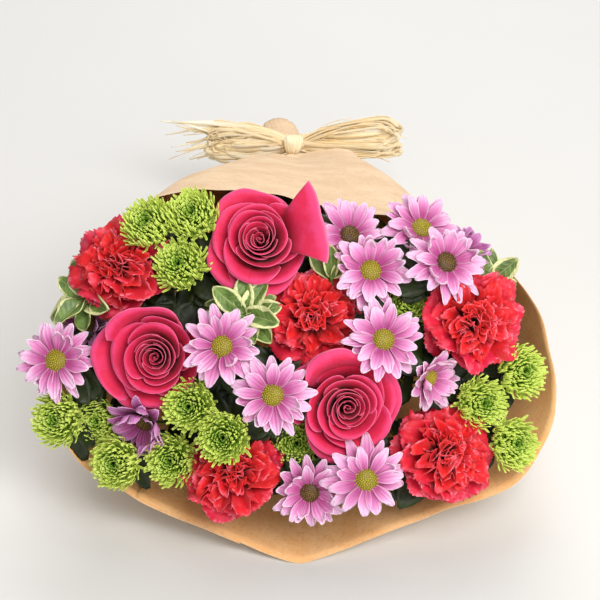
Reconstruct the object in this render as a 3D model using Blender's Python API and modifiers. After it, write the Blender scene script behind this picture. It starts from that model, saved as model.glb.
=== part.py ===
"""A mixed flower bouquet in a kraft paper wrapper, tied with raffia and lying on a surface.

The mouth of the wrapper faces -Y and tilts up; the neck, the bow and the paper tail point to +Y.
Roses, carnations, spray daisies, green button mums and leafy sprigs fan out of the neck to a low
dome of blooms. Each bloom, stem, spray and sprig is a separate solid, as is each part of the tie.
Metres, +Z up, surface at z = 0, origin under the middle of the whole bouquet.
"""

import math

import bmesh
import bpy
from mathutils import Matrix, Vector

CM = 0.01
MM = 0.001
GAP = 0.3 * MM

# The mouth's plane: across is +X, up climbs backwards, out points away from the stems.
MOUTH_CENTRE = Vector((0.0, 0.0, 12.3 * CM))
MOUTH_SLOPE = math.radians(48.0)
ACROSS = Vector((1.0, 0.0, 0.0))
UP = Vector((0.0, math.cos(MOUTH_SLOPE), math.sin(MOUTH_SLOPE)))
OUT = Vector((0.0, -math.sin(MOUTH_SLOPE), math.cos(MOUTH_SLOPE)))
DOME_DEPTH = 24.0 * CM

# The neck, where the raffia holds the paper and the stems, and the paper tail behind it.
NECK_FRONT = Vector((-0.4, 28.0, 4.05)) * CM
NECK_BACK = Vector((-0.6, 29.6, 3.75)) * CM
TAIL_END = Vector((-1.8, 37.5, 2.1)) * CM
NECK_RADIUS = 15.0 * MM
TAIL_MIDDLE_SHARE = 0.45
TAIL_MIDDLE_RADIUS = 15.8 * MM
TAIL_RADIUS = 17.5 * MM
PAPER_WALL = 0.6 * MM

# The rim of the paper: reach from a point low in the mouth, by direction in degrees.
RIM_CENTRE_UP = -4.0 * CM
RIM_REACH = (
    (-90.0, 12.6), (-68.0, 11.9), (-47.0, 12.8), (-30.0, 15.3), (-15.0, 16.0), (1.0, 15.7),
    (16.0, 14.8), (32.0, 13.0), (50.0, 11.3), (68.0, 10.0), (90.0, 10.1), (114.0, 11.6),
    (131.0, 13.6), (150.0, 14.3), (172.0, 15.4), (190.0, 15.6), (204.0, 15.2), (220.0, 13.2),
    (244.0, 11.9),
)
RIM_STEPS = 44
# The shoulder, where the gathered paper opens into the cone and lies down on the surface.
SHOULDER_CENTRE = Vector((-0.2, 25.0, 4.0)) * CM
SHOULDER_HALF_WIDTH = 5.2 * CM
SHOULDER_HALF_HEIGHT = 4.0 * CM
GATHER_STEPS = (0.2, 0.5, 0.8)
CONE_STEPS = (0.0, 0.2, 0.4, 0.6, 0.8, 1.0)
UNDERSIDE_SAG = 1.0 * CM

# Blooms: (across, up, lift over the mouth's plane) in cm, then (turn right, turn up) in degrees
# away from the way the dome faces there, then the size against a full bloom.
ROSES = (
    (-2.5, 3.0, 4.2, 0, 4, 1.0),
    (-9.0, -3.6, 3.6, 0, 0, 1.0),
    (2.7, -7.0, 4.0, 0, 4, 1.0),
)
CARNATIONS = (
    (-10.7, 1.6, 2.0, 8, 0, 1.0),
    (0.7, -1.8, 3.3, 0, 0, 1.0),
    (10.3, -2.0, 3.0, -8, 0, 1.0),
    (-3.9, -11.2, 2.0, 0, 12, 1.0),
    (8.5, -10.1, 2.0, 0, 10, 1.0),
)
DAISIES = (
    (3.0, 3.3, 3.0, 6, 0, 1.0),
    (4.2, 0.9, 4.9, 0, 0, 1.0),
    (7.4, 3.8, 2.6, 0, 6, 1.0),
    (8.7, 1.4, 4.8, 0, 0, 1.0),
    (10.2, 2.6, 1.3, 14, 6, 0.7),
    (4.9, -3.3, 5.6, 0, 0, 1.0),
    (-4.6, -3.7, 5.6, 6, 0, 1.0),
    (-1.6, -6.6, 5.8, 0, 0, 1.0),
    (-14.7, -4.3, 3.0, 16, 0, 1.0),
    (3.9, -11.5, 4.5, 0, 0, 1.0),
    (0.6, -12.2, 3.2, -6, -6, 0.95),
    (7.7, -5.4, 3.6, 26, -24, 0.8),
    (-9.4, -7.9, 2.3, -6, -42, 0.75),
    (-12.9, -1.9, 0.4, -10, 0, 0.75),
)
GREEN_MUMS = (
    (-9.1, 3.8, 4.1, 0, 0, 1.0),
    (-6.3, 4.1, 4.2, 0, 0, 1.0),
    (-7.0, 1.2, 4.0, 0, 0, 1.0),
    (-14.6, -7.8, 1.9, 6, 0, 1.0),
    (-12.2, -7.8, 0.8, 0, 0, 0.85),
    (-11.0, -10.4, 2.2, 0, 0, 1.0),
    (-6.5, -7.1, 4.0, 0, 0, 1.0),
    (-4.4, -8.9, 4.4, 0, 0, 1.0),
    (-7.7, -10.2, 2.2, 0, 0, 1.0),
    (-0.2, -9.2, 2.4, 0, 0, 0.85),
    (6.6, -0.9, 2.4, 0, 0, 0.85),
    (13.4, -4.9, 1.8, 0, 0, 1.0),
    (10.9, -6.8, 2.2, 0, 0, 1.0),
    (12.9, -9.2, 1.5, 0, 0, 1.0),
)
DAISY_SPRAYS = ((0, 1, 2, 3, 4), (5, 9, 11), (6, 7, 10), (8, 12, 13))
MUM_SPRAYS = ((0, 1, 2), (3, 4, 5, 6, 7, 8), (9, 10, 11, 12, 13))
# Leafy sprigs: place and facing as for a bloom, then leaves, leaf length in cm, first leaf's
# direction and the arc that the leaves fill, in degrees.
SPRIGS = (
    (-3.4, -1.3, 6.3, 0, 0, 7, 2.3, 20, 300),
    (1.3, 1.0, 5.8, 0, 0, 3, 2.1, 50, 75),
    (-13.3, -0.4, 2.8, 0, 0, 4, 2.3, 120, 190),
    (12.0, 1.0, 1.8, 0, 0, 3, 2.3, 20, 110),
)

# Turned profiles of the heads, outer side from top to bottom: (radius, height) in mm.
ROSE_PROFILE = ((0, 15), (11, 16), (19, 13), (25, 7), (27, 0), (24, -9), (16, -17), (8, -23), (0, -26))
CARNATION_PROFILE = ((0, 16), (13, 14), (22, 9), (26, 1), (22, -7), (7, -14), (6.5, -28), (0, -32))
DAISY_PROFILE = ((0, 3), (6.5, 2), (7.5, 0.8), (21.5, -0.8), (21, -2), (7, -3.2), (0, -7))
MUM_PROFILE = ((0, 10), (8, 8), (13.5, 2.5), (13.5, -3), (7, -9), (0, -13))
ROSE_SIDES = 16
CARNATION_SIDES = 14
DAISY_SIDES = 14
MUM_SIDES = 10

ROSE_STEM = 2.6 * MM
CARNATION_STEM = 2.1 * MM
SPRAY_STEM = 2.0 * MM
TWIG = 1.1 * MM
STEM_TAPER = 0.75
STEM_PAST_NECK = 7.0 * CM
STEM_STEPS = 9
TWIG_STEPS = 6
INNER_SLOTS = 6
INNER_SLOT_RADIUS = 5.3 * MM
OUTER_SLOT_RADIUS = 10.8 * MM

RAFFIA_WRAP_WALL = 2.4 * MM
RAFFIA_WRAP_HALF_LENGTH = 5.0 * MM
RAFFIA_HANK = 6.0 * MM
KNOT_HALF_SIZE = Vector((10.0, 9.0, 8.5)) * MM
BOW_REACH_LEFT = 9.0 * CM
BOW_REACH_RIGHT = 6.6 * CM
# One loop of the bow: (share of its reach, mm behind the knot, mm above the loop's start).
BOW_ROUTE = ((0.0, 5.0, 0.0), (0.35, 6.0, 10.0), (0.75, 5.0, 9.0), (0.95, 6.0, 1.0),
             (0.85, 9.0, -8.0), (0.45, 10.0, -11.0), (0.02, 8.0, -12.5))


# ---------------------------------------------------------------- helpers

def material(name, colour, roughness, metallic=0.0):
    """A plain Principled material."""
    made = bpy.data.materials.new(name)
    made.use_nodes = True
    shader = made.node_tree.nodes["Principled BSDF"]
    shader.inputs["Base Color"].default_value = (*colour, 1.0)
    shader.inputs["Roughness"].default_value = roughness
    shader.inputs["Metallic"].default_value = metallic
    return made


def add_object(name, mesh, finish, smooth=True):
    """Put a mesh into the bouquet's collection as one named part."""
    part = bpy.data.objects.new(name, mesh)
    bpy.data.collections["mixed_flower_bouquet"].objects.link(part)
    part.data.materials.clear()
    part.data.materials.append(finish)
    if smooth and part.type == "MESH":
        part.data.shade_smooth()
    return part


def mouth_point(across, up, lift):
    """A point given in cm along the mouth's own directions."""
    return MOUTH_CENTRE + (ACROSS * across + UP * up + OUT * lift) * CM


def facing_at(point, turn_right, turn_up):
    """The direction in which a head at this point of the dome looks."""
    facing = (point - (MOUTH_CENTRE + UP * RIM_CENTRE_UP - OUT * DOME_DEPTH)).normalized()
    facing = Matrix.Rotation(math.radians(turn_right), 3, UP) @ facing
    return (Matrix.Rotation(math.radians(turn_up), 3, -ACROSS) @ facing).normalized()


def smooth_route(points, count):
    """Evenly numbered points on a Catmull-Rom curve through the given points."""
    ends = [2 * points[0] - points[1], *points, 2 * points[-1] - points[-2]]
    spans = len(points) - 1
    route = []
    for step in range(count):
        place = spans * step / (count - 1)
        span = min(int(place), spans - 1)
        a, b, c, d = ends[span:span + 4]
        f = place - span
        route.append(0.5 * (2 * b + (c - a) * f + (2 * a - 5 * b + 4 * c - d) * f ** 2
                            + (3 * b - a - 3 * c + d) * f ** 3))
    return route


def tube_mesh(name, route, radius, sides_level=1, taper=1.0):
    """A tube with closed ends along a route, as a welded mesh."""
    curve = bpy.data.curves.new(name, "CURVE")
    curve.dimensions = "3D"
    curve.bevel_depth = radius
    curve.bevel_resolution = sides_level
    curve.use_fill_caps = True
    spline = curve.splines.new("POLY")
    spline.points.add(len(route) - 1)
    for index, (point, place) in enumerate(zip(spline.points, route)):
        point.co = (*place, 1.0)
        point.radius = 1.0 + (taper - 1.0) * index / (len(route) - 1)
    guide = bpy.data.objects.new(name + "_route", curve)
    bpy.context.scene.collection.objects.link(guide)
    evaluated = guide.evaluated_get(bpy.context.evaluated_depsgraph_get())
    mesh = bpy.data.meshes.new_from_object(evaluated)
    bpy.data.objects.remove(guide)
    weld = bmesh.new()
    weld.from_mesh(mesh)
    bmesh.ops.remove_doubles(weld, verts=weld.verts, dist=0.01 * MM)
    bmesh.ops.recalc_face_normals(weld, faces=weld.faces)
    weld.to_mesh(mesh)
    weld.free()
    return mesh


def joined(part, meshes):
    """Union more meshes into a part with Booleans, and keep the result as its mesh."""
    for number, mesh in enumerate(meshes):
        cutter = bpy.data.objects.new(f"{part.name}_piece_{number}", mesh)
        bpy.data.collections["cutters"].objects.link(cutter)
        cutter.hide_render = True
        cutter.display_type = "WIRE"
        union = part.modifiers.new("union", "BOOLEAN")
        union.operation = "UNION"
        union.solver = "EXACT"
        union.object = cutter
    bpy.context.view_layer.update()
    evaluated = part.evaluated_get(bpy.context.evaluated_depsgraph_get())
    whole = bpy.data.meshes.new_from_object(evaluated)
    part.modifiers.clear()
    part.data = whole
    for cutter in list(bpy.data.collections["cutters"].objects):
        bpy.data.objects.remove(cutter)
    return part


# ---------------------------------------------------------------- wrapper

def rim_point(turn):
    """The paper's edge at a direction in the mouth, in degrees."""
    first = RIM_REACH[0][0]
    angle = (turn - first) % 360.0 + first
    count = len(RIM_REACH)
    index = max(i for i in range(count) if RIM_REACH[i][0] <= angle)

    def entry(i):
        return RIM_REACH[i % count][0] + 360.0 * (i // count), RIM_REACH[i % count][1]

    (a0, r0), (a1, r1), (a2, r2), (a3, r3) = (entry(index + k) for k in (-1, 0, 1, 2))
    f = (angle - a1) / (a2 - a1)
    slope_1 = (r2 - r0) / (a2 - a0) * (a2 - a1)
    slope_2 = (r3 - r1) / (a3 - a1) * (a2 - a1)
    length = ((2 * f ** 3 - 3 * f ** 2 + 1) * r1 + (f ** 3 - 2 * f ** 2 + f) * slope_1
              + (3 * f ** 2 - 2 * f ** 3) * r2 + (f ** 3 - f ** 2) * slope_2)
    side = math.radians(turn)
    return mouth_point(length * math.cos(side), RIM_CENTRE_UP / CM + length * math.sin(side), 0.0)


def neck_axis():
    """The direction of the neck, from the tail towards the blooms."""
    return (NECK_FRONT - NECK_BACK).normalized()


def neck_sides():
    """The directions across and up in the neck's cross-section."""
    axis = neck_axis()
    side = (ACROSS - axis * ACROSS.dot(axis)).normalized()
    top = side.cross(axis)
    return side, top if top.z > 0 else -top


def ring_point(centre, radius, turn):
    """A point on a ring round the neck or the tail."""
    side, top = neck_sides()
    angle = math.radians(turn)
    return centre + (side * math.cos(angle) + top * math.sin(angle)) * radius


def shoulder_point(turn):
    """A point on the wide, low ring where the gathers end."""
    angle = math.radians(turn)
    return SHOULDER_CENTRE + Vector((SHOULDER_HALF_WIDTH * math.cos(angle), 0.0,
                                     SHOULDER_HALF_HEIGHT * math.sin(angle)))


def gather_point(along, turn):
    """The paper's outside between the neck (0) and the shoulder (1), rounded at the shoulder."""
    start = ring_point(NECK_FRONT, NECK_RADIUS, turn)
    end = shoulder_point(turn)
    spread = math.sin(along * math.pi / 2)
    return Vector((start.x + (end.x - start.x) * spread, start.y + (end.y - start.y) * along,
                   start.z + (end.z - start.z) * spread))


def cone_point(along, turn):
    """The paper's outside between the shoulder (0) and the rim (1), flat where it lies down."""
    point = shoulder_point(turn).lerp(rim_point(turn), along)
    low = max(0.0, -math.sin(math.radians(turn)))
    point.z -= low * UNDERSIDE_SAG * math.sin(math.pi * along)
    point.z = max(point.z, 0.0)
    return point


def wrapper_rows():
    """Rings of points from the tail's end to the rim, each starting at the underside."""
    turns = [-90.0 + 360.0 * step / RIM_STEPS for step in range(RIM_STEPS)]
    tail_middle = NECK_BACK.lerp(TAIL_END, TAIL_MIDDLE_SHARE)
    rings = ((TAIL_END, TAIL_RADIUS), (tail_middle, TAIL_MIDDLE_RADIUS),
             (NECK_BACK, NECK_RADIUS), (NECK_FRONT, NECK_RADIUS))
    rows = [[ring_point(centre, radius, turn) for turn in turns] for centre, radius in rings]
    rows += [[gather_point(along, turn) for turn in turns] for along in GATHER_STEPS]
    rows += [[cone_point(along, turn) for turn in turns] for along in CONE_STEPS]
    return rows


def paper_wrapper(finish):
    """One sheet rolled into a cone: rim, flat underside, shoulder, neck and tail."""
    rows = wrapper_rows()
    shell = bmesh.new()
    bmesh.ops.create_grid(shell, x_segments=RIM_STEPS, y_segments=len(rows) - 1, size=1.0)
    shell.verts.ensure_lookup_table()
    columns = RIM_STEPS + 1
    for number, vert in enumerate(shell.verts):
        vert.co = rows[number // columns][number % columns % RIM_STEPS]
    bmesh.ops.remove_doubles(shell, verts=shell.verts, dist=0.01 * MM)
    bmesh.ops.recalc_face_normals(shell, faces=shell.faces)
    lowest = min(shell.faces, key=lambda face: face.calc_center_median().z)
    if lowest.normal.z > 0:
        bmesh.ops.reverse_faces(shell, faces=shell.faces)
    mesh = bpy.data.meshes.new("paper_wrapper")
    shell.to_mesh(mesh)
    shell.free()
    part = add_object("paper_wrapper", mesh, finish, smooth=False)
    wall = part.modifiers.new("wall", "SOLIDIFY")
    wall.thickness = PAPER_WALL
    wall.offset = -1.0
    return part


# ---------------------------------------------------------------- tie

def raffia_wrap(finish):
    """Turns of raffia round the neck, as one band with bevelled edges."""
    inner = (NECK_RADIUS + GAP) / MM
    outer = inner + RAFFIA_WRAP_WALL / MM
    half = RAFFIA_WRAP_HALF_LENGTH / MM
    bevel = 0.8
    corners = ((inner, half - bevel), (inner + bevel, half), (outer - bevel, half), (outer, half - bevel))
    profile = corners + tuple((radius, -height) for radius, height in reversed(corners))
    part = add_object("raffia_wrap", turned_mesh("raffia_wrap", profile, 24, closed=True), finish)
    part.location = NECK_FRONT.lerp(NECK_BACK, 0.5)
    part.rotation_mode = "QUATERNION"
    part.rotation_quaternion = neck_axis().to_track_quat("Z", "Y")
    return part


def knot_centre():
    """The middle of the knot, which sits on top of the raffia wrap."""
    lift = NECK_RADIUS + RAFFIA_WRAP_WALL + KNOT_HALF_SIZE.z + 1.0 * MM
    return NECK_FRONT.lerp(NECK_BACK, 0.5) + Vector((0.0, -0.1, 1.0)).normalized() * lift


def raffia_knot(finish):
    """A flattened round knot."""
    solid = bmesh.new()
    bmesh.ops.create_uvsphere(solid, u_segments=12, v_segments=8, radius=1.0)
    bmesh.ops.scale(solid, verts=solid.verts, vec=KNOT_HALF_SIZE)
    mesh = bpy.data.meshes.new("raffia_knot")
    solid.to_mesh(mesh)
    solid.free()
    part = add_object("raffia_knot", mesh, finish)
    part.location = knot_centre()
    return part


def raffia_bow(name, side, reach, finish):
    """One side's hank of loops: a strand bundle that leaves the knot and comes back to it."""
    clear_of_knot = KNOT_HALF_SIZE.x + 0.4 * RAFFIA_HANK
    start = knot_centre() + Vector((side * clear_of_knot, -4.0 * MM, 5.5 * MM))
    points = [start + Vector((side * reach * share, behind * MM, above * MM))
              for share, behind, above in BOW_ROUTE]
    return add_object(name, tube_mesh(name, smooth_route(points, 20), RAFFIA_HANK), finish)


# ---------------------------------------------------------------- heads

def turned_mesh(name, profile, sides, closed=False):
    """A solid turned about +Z from a profile in mm that runs down its outer side."""
    outline = bmesh.new()
    corners = [outline.verts.new((radius * MM, 0.0, height * MM)) for radius, height in profile]
    for first, second in zip(corners, corners[1:]):
        outline.edges.new((first, second))
    if closed:
        outline.edges.new((corners[-1], corners[0]))
    mesh = bpy.data.meshes.new(name + "_outline")
    outline.to_mesh(mesh)
    outline.free()
    guide = bpy.data.objects.new(name + "_outline", mesh)
    bpy.context.scene.collection.objects.link(guide)
    turn = guide.modifiers.new("turn", "SCREW")
    turn.steps = sides
    turn.render_steps = sides
    turn.use_merge_vertices = True
    turn.merge_threshold = 0.05 * MM
    evaluated = guide.evaluated_get(bpy.context.evaluated_depsgraph_get())
    solid = bpy.data.meshes.new_from_object(evaluated)
    bpy.data.objects.remove(guide)
    tidy = bmesh.new()
    tidy.from_mesh(solid)
    bmesh.ops.remove_doubles(tidy, verts=tidy.verts, dist=0.02 * MM)
    bmesh.ops.recalc_face_normals(tidy, faces=tidy.faces)
    tidy.to_mesh(solid)
    tidy.free()
    return solid


def add_heads(prefix, places, profile, sides, finish):
    """Turned heads, one object each, set in the dome. Gives each head's stem point and facing."""
    ends = []
    for number, (across, up, lift, turn_right, turn_up, size) in enumerate(places, 1):
        centre = mouth_point(across, up, lift)
        facing = facing_at(centre, turn_right, turn_up)
        depth = -profile[-1][1] * size * MM
        sized = [(radius * size, height * size) for radius, height in profile]
        head = add_object(f"{prefix}_{number}", turned_mesh(prefix, sized, sides), finish)
        head.location = centre
        head.rotation_mode = "QUATERNION"
        head.rotation_quaternion = facing.to_track_quat("Z", "Y")
        ends.append((centre - facing * (depth + GAP), facing))
    return ends


# ---------------------------------------------------------------- stems

def bearing(direction):
    """The angle of a direction in the mouth."""
    return math.atan2(direction.y, direction.x)


def neck_slots(directions):
    """A place in the neck's bundle for each stem, by the way its bloom lies from the middle.

    The most central stem takes the middle, the next few a small ring and the rest a wide one,
    and each ring is turned so that its stems cross as little as they can."""
    order = sorted(range(len(directions)), key=lambda i: directions[i].length)
    slots = [Vector((0.0, 0.0)) for _ in directions]
    rings = ((order[1:1 + INNER_SLOTS], INNER_SLOT_RADIUS), (order[1 + INNER_SLOTS:], OUTER_SLOT_RADIUS))
    for ring, radius in rings:
        turning = sorted(ring, key=lambda i: bearing(directions[i]))
        step = 2 * math.pi / len(turning)
        offsets = [bearing(directions[i]) - k * step for k, i in enumerate(turning)]
        middle = math.atan2(sum(map(math.sin, offsets)), sum(map(math.cos, offsets)))
        for k, i in enumerate(turning):
            slots[i] = Vector((math.cos(middle + k * step), math.sin(middle + k * step))) * radius
    return slots


def bundle_point(centre, slot):
    """A stem's place in the neck or the tail."""
    side, top = neck_sides()
    return centre + side * slot.x + top * slot.y


def bend(start, inner, outer, end, steps):
    """Points along one cubic bend."""
    points = []
    for step in range(steps):
        f = step / (steps - 1)
        points.append(start * (1 - f) ** 3 + inner * 3 * f * (1 - f) ** 2
                      + outer * 3 * f ** 2 * (1 - f) + end * f ** 3)
    return points


def stem_route(slot, end, facing, curl=9.0 * CM):
    """From the tail, through the neck, and on in one bend to the underside of a head."""
    tail_share = STEM_PAST_NECK / (TAIL_END - NECK_BACK).length
    start = bundle_point(NECK_FRONT, slot)
    inner = start + neck_axis() * 4.0 * CM + (end - start) * 0.12
    tail = bundle_point(NECK_BACK.lerp(TAIL_END, tail_share), slot)
    return [tail, bundle_point(NECK_BACK, slot),
            *bend(start, inner, end - facing * curl, end, STEM_STEPS)]


def add_stem(name, slot, end, facing, radius, finish):
    """One plain stem."""
    route = stem_route(slot, end, facing)
    return add_object(name, tube_mesh(name, route, radius, 1, STEM_TAPER), finish)


def spray_twigs(route, ends, first_share, last_share):
    """Twigs that leave the main stem at rising points and bend to their heads."""
    twigs = []
    for number, (end, facing) in enumerate(ends):
        share = first_share + (last_share - first_share) * number / (len(ends) - 1)
        index = min(int(len(route) * share), len(route) - 2)
        start = route[index].lerp(route[index + 1], 0.5)
        along = (route[index + 1] - route[index]).normalized()
        reach = (end - start).length
        twigs.append(bend(start, start + along * reach * 0.4, end - facing * reach * 0.35, end,
                          TWIG_STEPS))
    return twigs


def add_spray(name, slot, ends, finish):
    """A branching stem: a main stem to the middle of its heads and a twig to each head."""
    facing = sum((way for _, way in ends), Vector()).normalized()
    fork = sum((end for end, _ in ends), Vector()) / len(ends) - facing * 3.5 * CM
    route = stem_route(slot, fork, facing, curl=6.0 * CM)
    farthest_first = sorted(ends, key=lambda item: (item[0] - fork).length, reverse=True)
    part = add_object(name, tube_mesh(name, route, SPRAY_STEM, 1, STEM_TAPER), finish)
    twigs = spray_twigs(route, farthest_first, 0.62, 0.92)
    return joined(part, [tube_mesh(name + "_twig", twig, TWIG, 0) for twig in twigs])


def leaf_mesh(start, direction, normal, length):
    """A pointed leaf blade, as a thin lens that starts at the twig."""
    blade = bmesh.new()
    bmesh.ops.create_uvsphere(blade, u_segments=8, v_segments=4, radius=0.5)
    bmesh.ops.rotate(blade, verts=blade.verts, matrix=Matrix.Rotation(math.pi / 2, 3, "Y"))
    bmesh.ops.scale(blade, verts=blade.verts, vec=(length, length * 0.42, 1.2 * MM))
    side = normal.cross(direction).normalized()
    upright = direction.cross(side).normalized()
    turn = Matrix((direction, side, upright)).transposed().to_4x4()
    middle = start + direction * length * 0.47
    bmesh.ops.transform(blade, verts=blade.verts, matrix=Matrix.Translation(middle) @ turn)
    mesh = bpy.data.meshes.new("leaf")
    blade.to_mesh(mesh)
    blade.free()
    return mesh


def add_sprig(name, slot, place, finish):
    """A woody stem with a rosette of leaves at its end."""
    across, up, lift, turn_right, turn_up, leaves, leaf_length, first, arc = place
    tip = mouth_point(across, up, lift)
    facing = facing_at(tip, turn_right, turn_up)
    part = add_object(name, tube_mesh(name, stem_route(slot, tip, facing), SPRAY_STEM, 1, 0.55), finish)
    side = (ACROSS - facing * ACROSS.dot(facing)).normalized()
    top = facing.cross(side)
    blades = []
    for number in range(leaves):
        angle = math.radians(first + arc * number / (leaves - 1))
        flat = side * math.cos(angle) + top * math.sin(angle)
        rise = math.radians(16.0 + 16.0 * (number % 2))
        direction = flat * math.cos(rise) + facing * math.sin(rise)
        start = tip - facing * (1.5 * MM + 2.2 * MM * (number % 3))
        blades.append(leaf_mesh(start, direction.normalized(), facing, leaf_length * CM))
    return joined(part, blades)


# ---------------------------------------------------------------- bouquet

def in_mouth(point):
    """How far a point lies across and up from the middle of the mouth."""
    offset = point - (MOUTH_CENTRE + UP * RIM_CENTRE_UP)
    return Vector((offset.dot(ACROSS), offset.dot(UP)))


def all_stems(finishes, rose_ends, carnation_ends, daisy_ends, mum_ends):
    """Every stem, spray and sprig, each with its own place in the neck. Sprays have no radius."""
    plans = []
    for number, end in enumerate(rose_ends, 1):
        plans.append((f"rose_stem_{number}", [end], ROSE_STEM))
    for number, end in enumerate(carnation_ends, 1):
        plans.append((f"carnation_stem_{number}", [end], CARNATION_STEM))
    for number, group in enumerate(DAISY_SPRAYS, 1):
        plans.append((f"daisy_spray_{number}", [daisy_ends[i] for i in group], None))
    for number, group in enumerate(MUM_SPRAYS, 1):
        plans.append((f"green_mum_spray_{number}", [mum_ends[i] for i in group], None))
    places = [sum((in_mouth(end) for end, _ in ends), Vector((0, 0))) / len(ends)
              for _, ends, _ in plans]
    places += [in_mouth(mouth_point(*sprig[:3])) for sprig in SPRIGS]
    slots = neck_slots(places)
    for (name, ends, radius), slot in zip(plans, slots):
        if radius:
            add_stem(name, slot, *ends[0], radius, finishes["stem"])
        else:
            add_spray(name, slot, ends, finishes["stem"])
    for number, sprig in enumerate(SPRIGS, 1):
        add_sprig(f"leaf_sprig_{number}", slots[len(plans) + number - 1], sprig, finishes["leaf"])


def centre_on_origin():
    """Parent every part to one empty, moved so that the whole box is centred on the origin."""
    bpy.context.view_layer.update()
    graph = bpy.context.evaluated_depsgraph_get()
    parts = list(bpy.data.collections["mixed_flower_bouquet"].objects)
    corners = []
    for part in parts:
        solid = part.evaluated_get(graph)
        corners += [solid.matrix_world @ vert.co for vert in solid.data.vertices]
    middle_x = (min(c.x for c in corners) + max(c.x for c in corners)) / 2
    middle_y = (min(c.y for c in corners) + max(c.y for c in corners)) / 2
    root = bpy.data.objects.new("bouquet", None)
    bpy.data.collections["mixed_flower_bouquet"].objects.link(root)
    for part in parts:
        part.parent = root
    root.location = (-middle_x, -middle_y, 0.0)


def build():
    """Model the whole bouquet."""
    for leftover in list(bpy.data.objects):
        bpy.data.objects.remove(leftover)
    for name in ("mixed_flower_bouquet", "cutters"):
        bpy.context.scene.collection.children.link(bpy.data.collections.new(name))
    finishes = {
        "paper": material("kraft_paper", (0.66, 0.44, 0.24), 0.85),
        "raffia": material("raffia", (0.84, 0.68, 0.36), 0.8),
        "rose": material("rose_petal", (0.75, 0.03, 0.16), 0.55),
        "carnation": material("carnation_petal", (0.75, 0.02, 0.03), 0.6),
        "daisy": material("daisy_petal", (0.62, 0.28, 0.6), 0.6),
        "mum": material("green_floret", (0.22, 0.42, 0.04), 0.55),
        "stem": material("green_stem", (0.13, 0.25, 0.05), 0.6),
        "leaf": material("variegated_leaf", (0.2, 0.32, 0.08), 0.5),
    }
    paper_wrapper(finishes["paper"])
    raffia_wrap(finishes["raffia"])
    raffia_knot(finishes["raffia"])
    raffia_bow("raffia_bow_left", -1, BOW_REACH_LEFT, finishes["raffia"])
    raffia_bow("raffia_bow_right", 1, BOW_REACH_RIGHT, finishes["raffia"])
    rose_ends = add_heads("rose_bloom", ROSES, ROSE_PROFILE, ROSE_SIDES, finishes["rose"])
    carnation_ends = add_heads("carnation_bloom", CARNATIONS, CARNATION_PROFILE, CARNATION_SIDES,
                               finishes["carnation"])
    daisy_ends = add_heads("daisy_bloom", DAISIES, DAISY_PROFILE, DAISY_SIDES, finishes["daisy"])
    mum_ends = add_heads("green_mum", GREEN_MUMS, MUM_PROFILE, MUM_SIDES, finishes["mum"])
    all_stems(finishes, rose_ends, carnation_ends, daisy_ends, mum_ends)
    centre_on_origin()


build()
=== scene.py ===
import random
from math import atan2, cos, degrees, exp, hypot, pi, radians, sin, sqrt, tan

import bmesh
import bpy
from mathutils import Matrix, Vector


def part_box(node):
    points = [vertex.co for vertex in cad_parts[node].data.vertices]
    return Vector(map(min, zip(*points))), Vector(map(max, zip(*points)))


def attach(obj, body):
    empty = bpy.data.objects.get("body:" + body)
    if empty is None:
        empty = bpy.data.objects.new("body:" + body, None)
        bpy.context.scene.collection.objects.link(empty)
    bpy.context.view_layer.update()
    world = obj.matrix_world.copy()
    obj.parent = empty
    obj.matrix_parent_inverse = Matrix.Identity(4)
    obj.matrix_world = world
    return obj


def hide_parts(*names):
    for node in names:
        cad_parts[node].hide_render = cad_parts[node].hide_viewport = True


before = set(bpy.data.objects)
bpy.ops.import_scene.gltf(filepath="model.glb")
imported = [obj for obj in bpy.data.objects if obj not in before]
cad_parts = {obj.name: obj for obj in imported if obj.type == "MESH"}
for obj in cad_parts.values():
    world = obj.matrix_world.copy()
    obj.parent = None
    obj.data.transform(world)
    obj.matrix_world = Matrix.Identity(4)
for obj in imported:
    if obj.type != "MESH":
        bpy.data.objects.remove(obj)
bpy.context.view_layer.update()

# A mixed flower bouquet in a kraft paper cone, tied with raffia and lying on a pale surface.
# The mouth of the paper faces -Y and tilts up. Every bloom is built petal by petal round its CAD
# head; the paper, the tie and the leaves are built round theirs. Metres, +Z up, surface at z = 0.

CM = 0.01
MM = 0.001
GOLDEN_TURN = radians(137.508)
# Corners nearer to each other than this become one.
WELD = 0.01 * MM
# A head is built facing this way.
HEAD_AXIS = Vector((0, 0, 1))

# The bouquet was drawn with its mouth over the origin, then shifted to the middle of its box.
SHIFT = Vector((0.465, -12.952, 0)) * CM

# The mouth's plane: across is +X, up climbs backwards, out points away from the stems.
MOUTH_CENTRE = Vector((0, 0, 12.3)) * CM + SHIFT
MOUTH_SLOPE = radians(48)
ACROSS = Vector((1, 0, 0))
UP = Vector((0, cos(MOUTH_SLOPE), sin(MOUTH_SLOPE)))
OUT = Vector((0, -sin(MOUTH_SLOPE), cos(MOUTH_SLOPE)))
DOME_DEPTH = 24 * CM
RIM_CENTRE_UP = -4 * CM
DOME_CENTRE = MOUTH_CENTRE + UP * RIM_CENTRE_UP - OUT * DOME_DEPTH

# The neck, where the raffia holds the paper and the stems, and the paper tail behind it.
NECK_FRONT = Vector((-0.4, 28, 4.05)) * CM + SHIFT
NECK_BACK = Vector((-0.6, 29.6, 3.75)) * CM + SHIFT
TAIL_END = Vector((-1.8, 37.5, 2.1)) * CM + SHIFT
NECK_RADIUS = 15 * MM
TAIL_MIDDLE_SHARE = 0.45
TAIL_MIDDLE_RADIUS = 15.8 * MM
TAIL_RADIUS = 17.5 * MM

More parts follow.
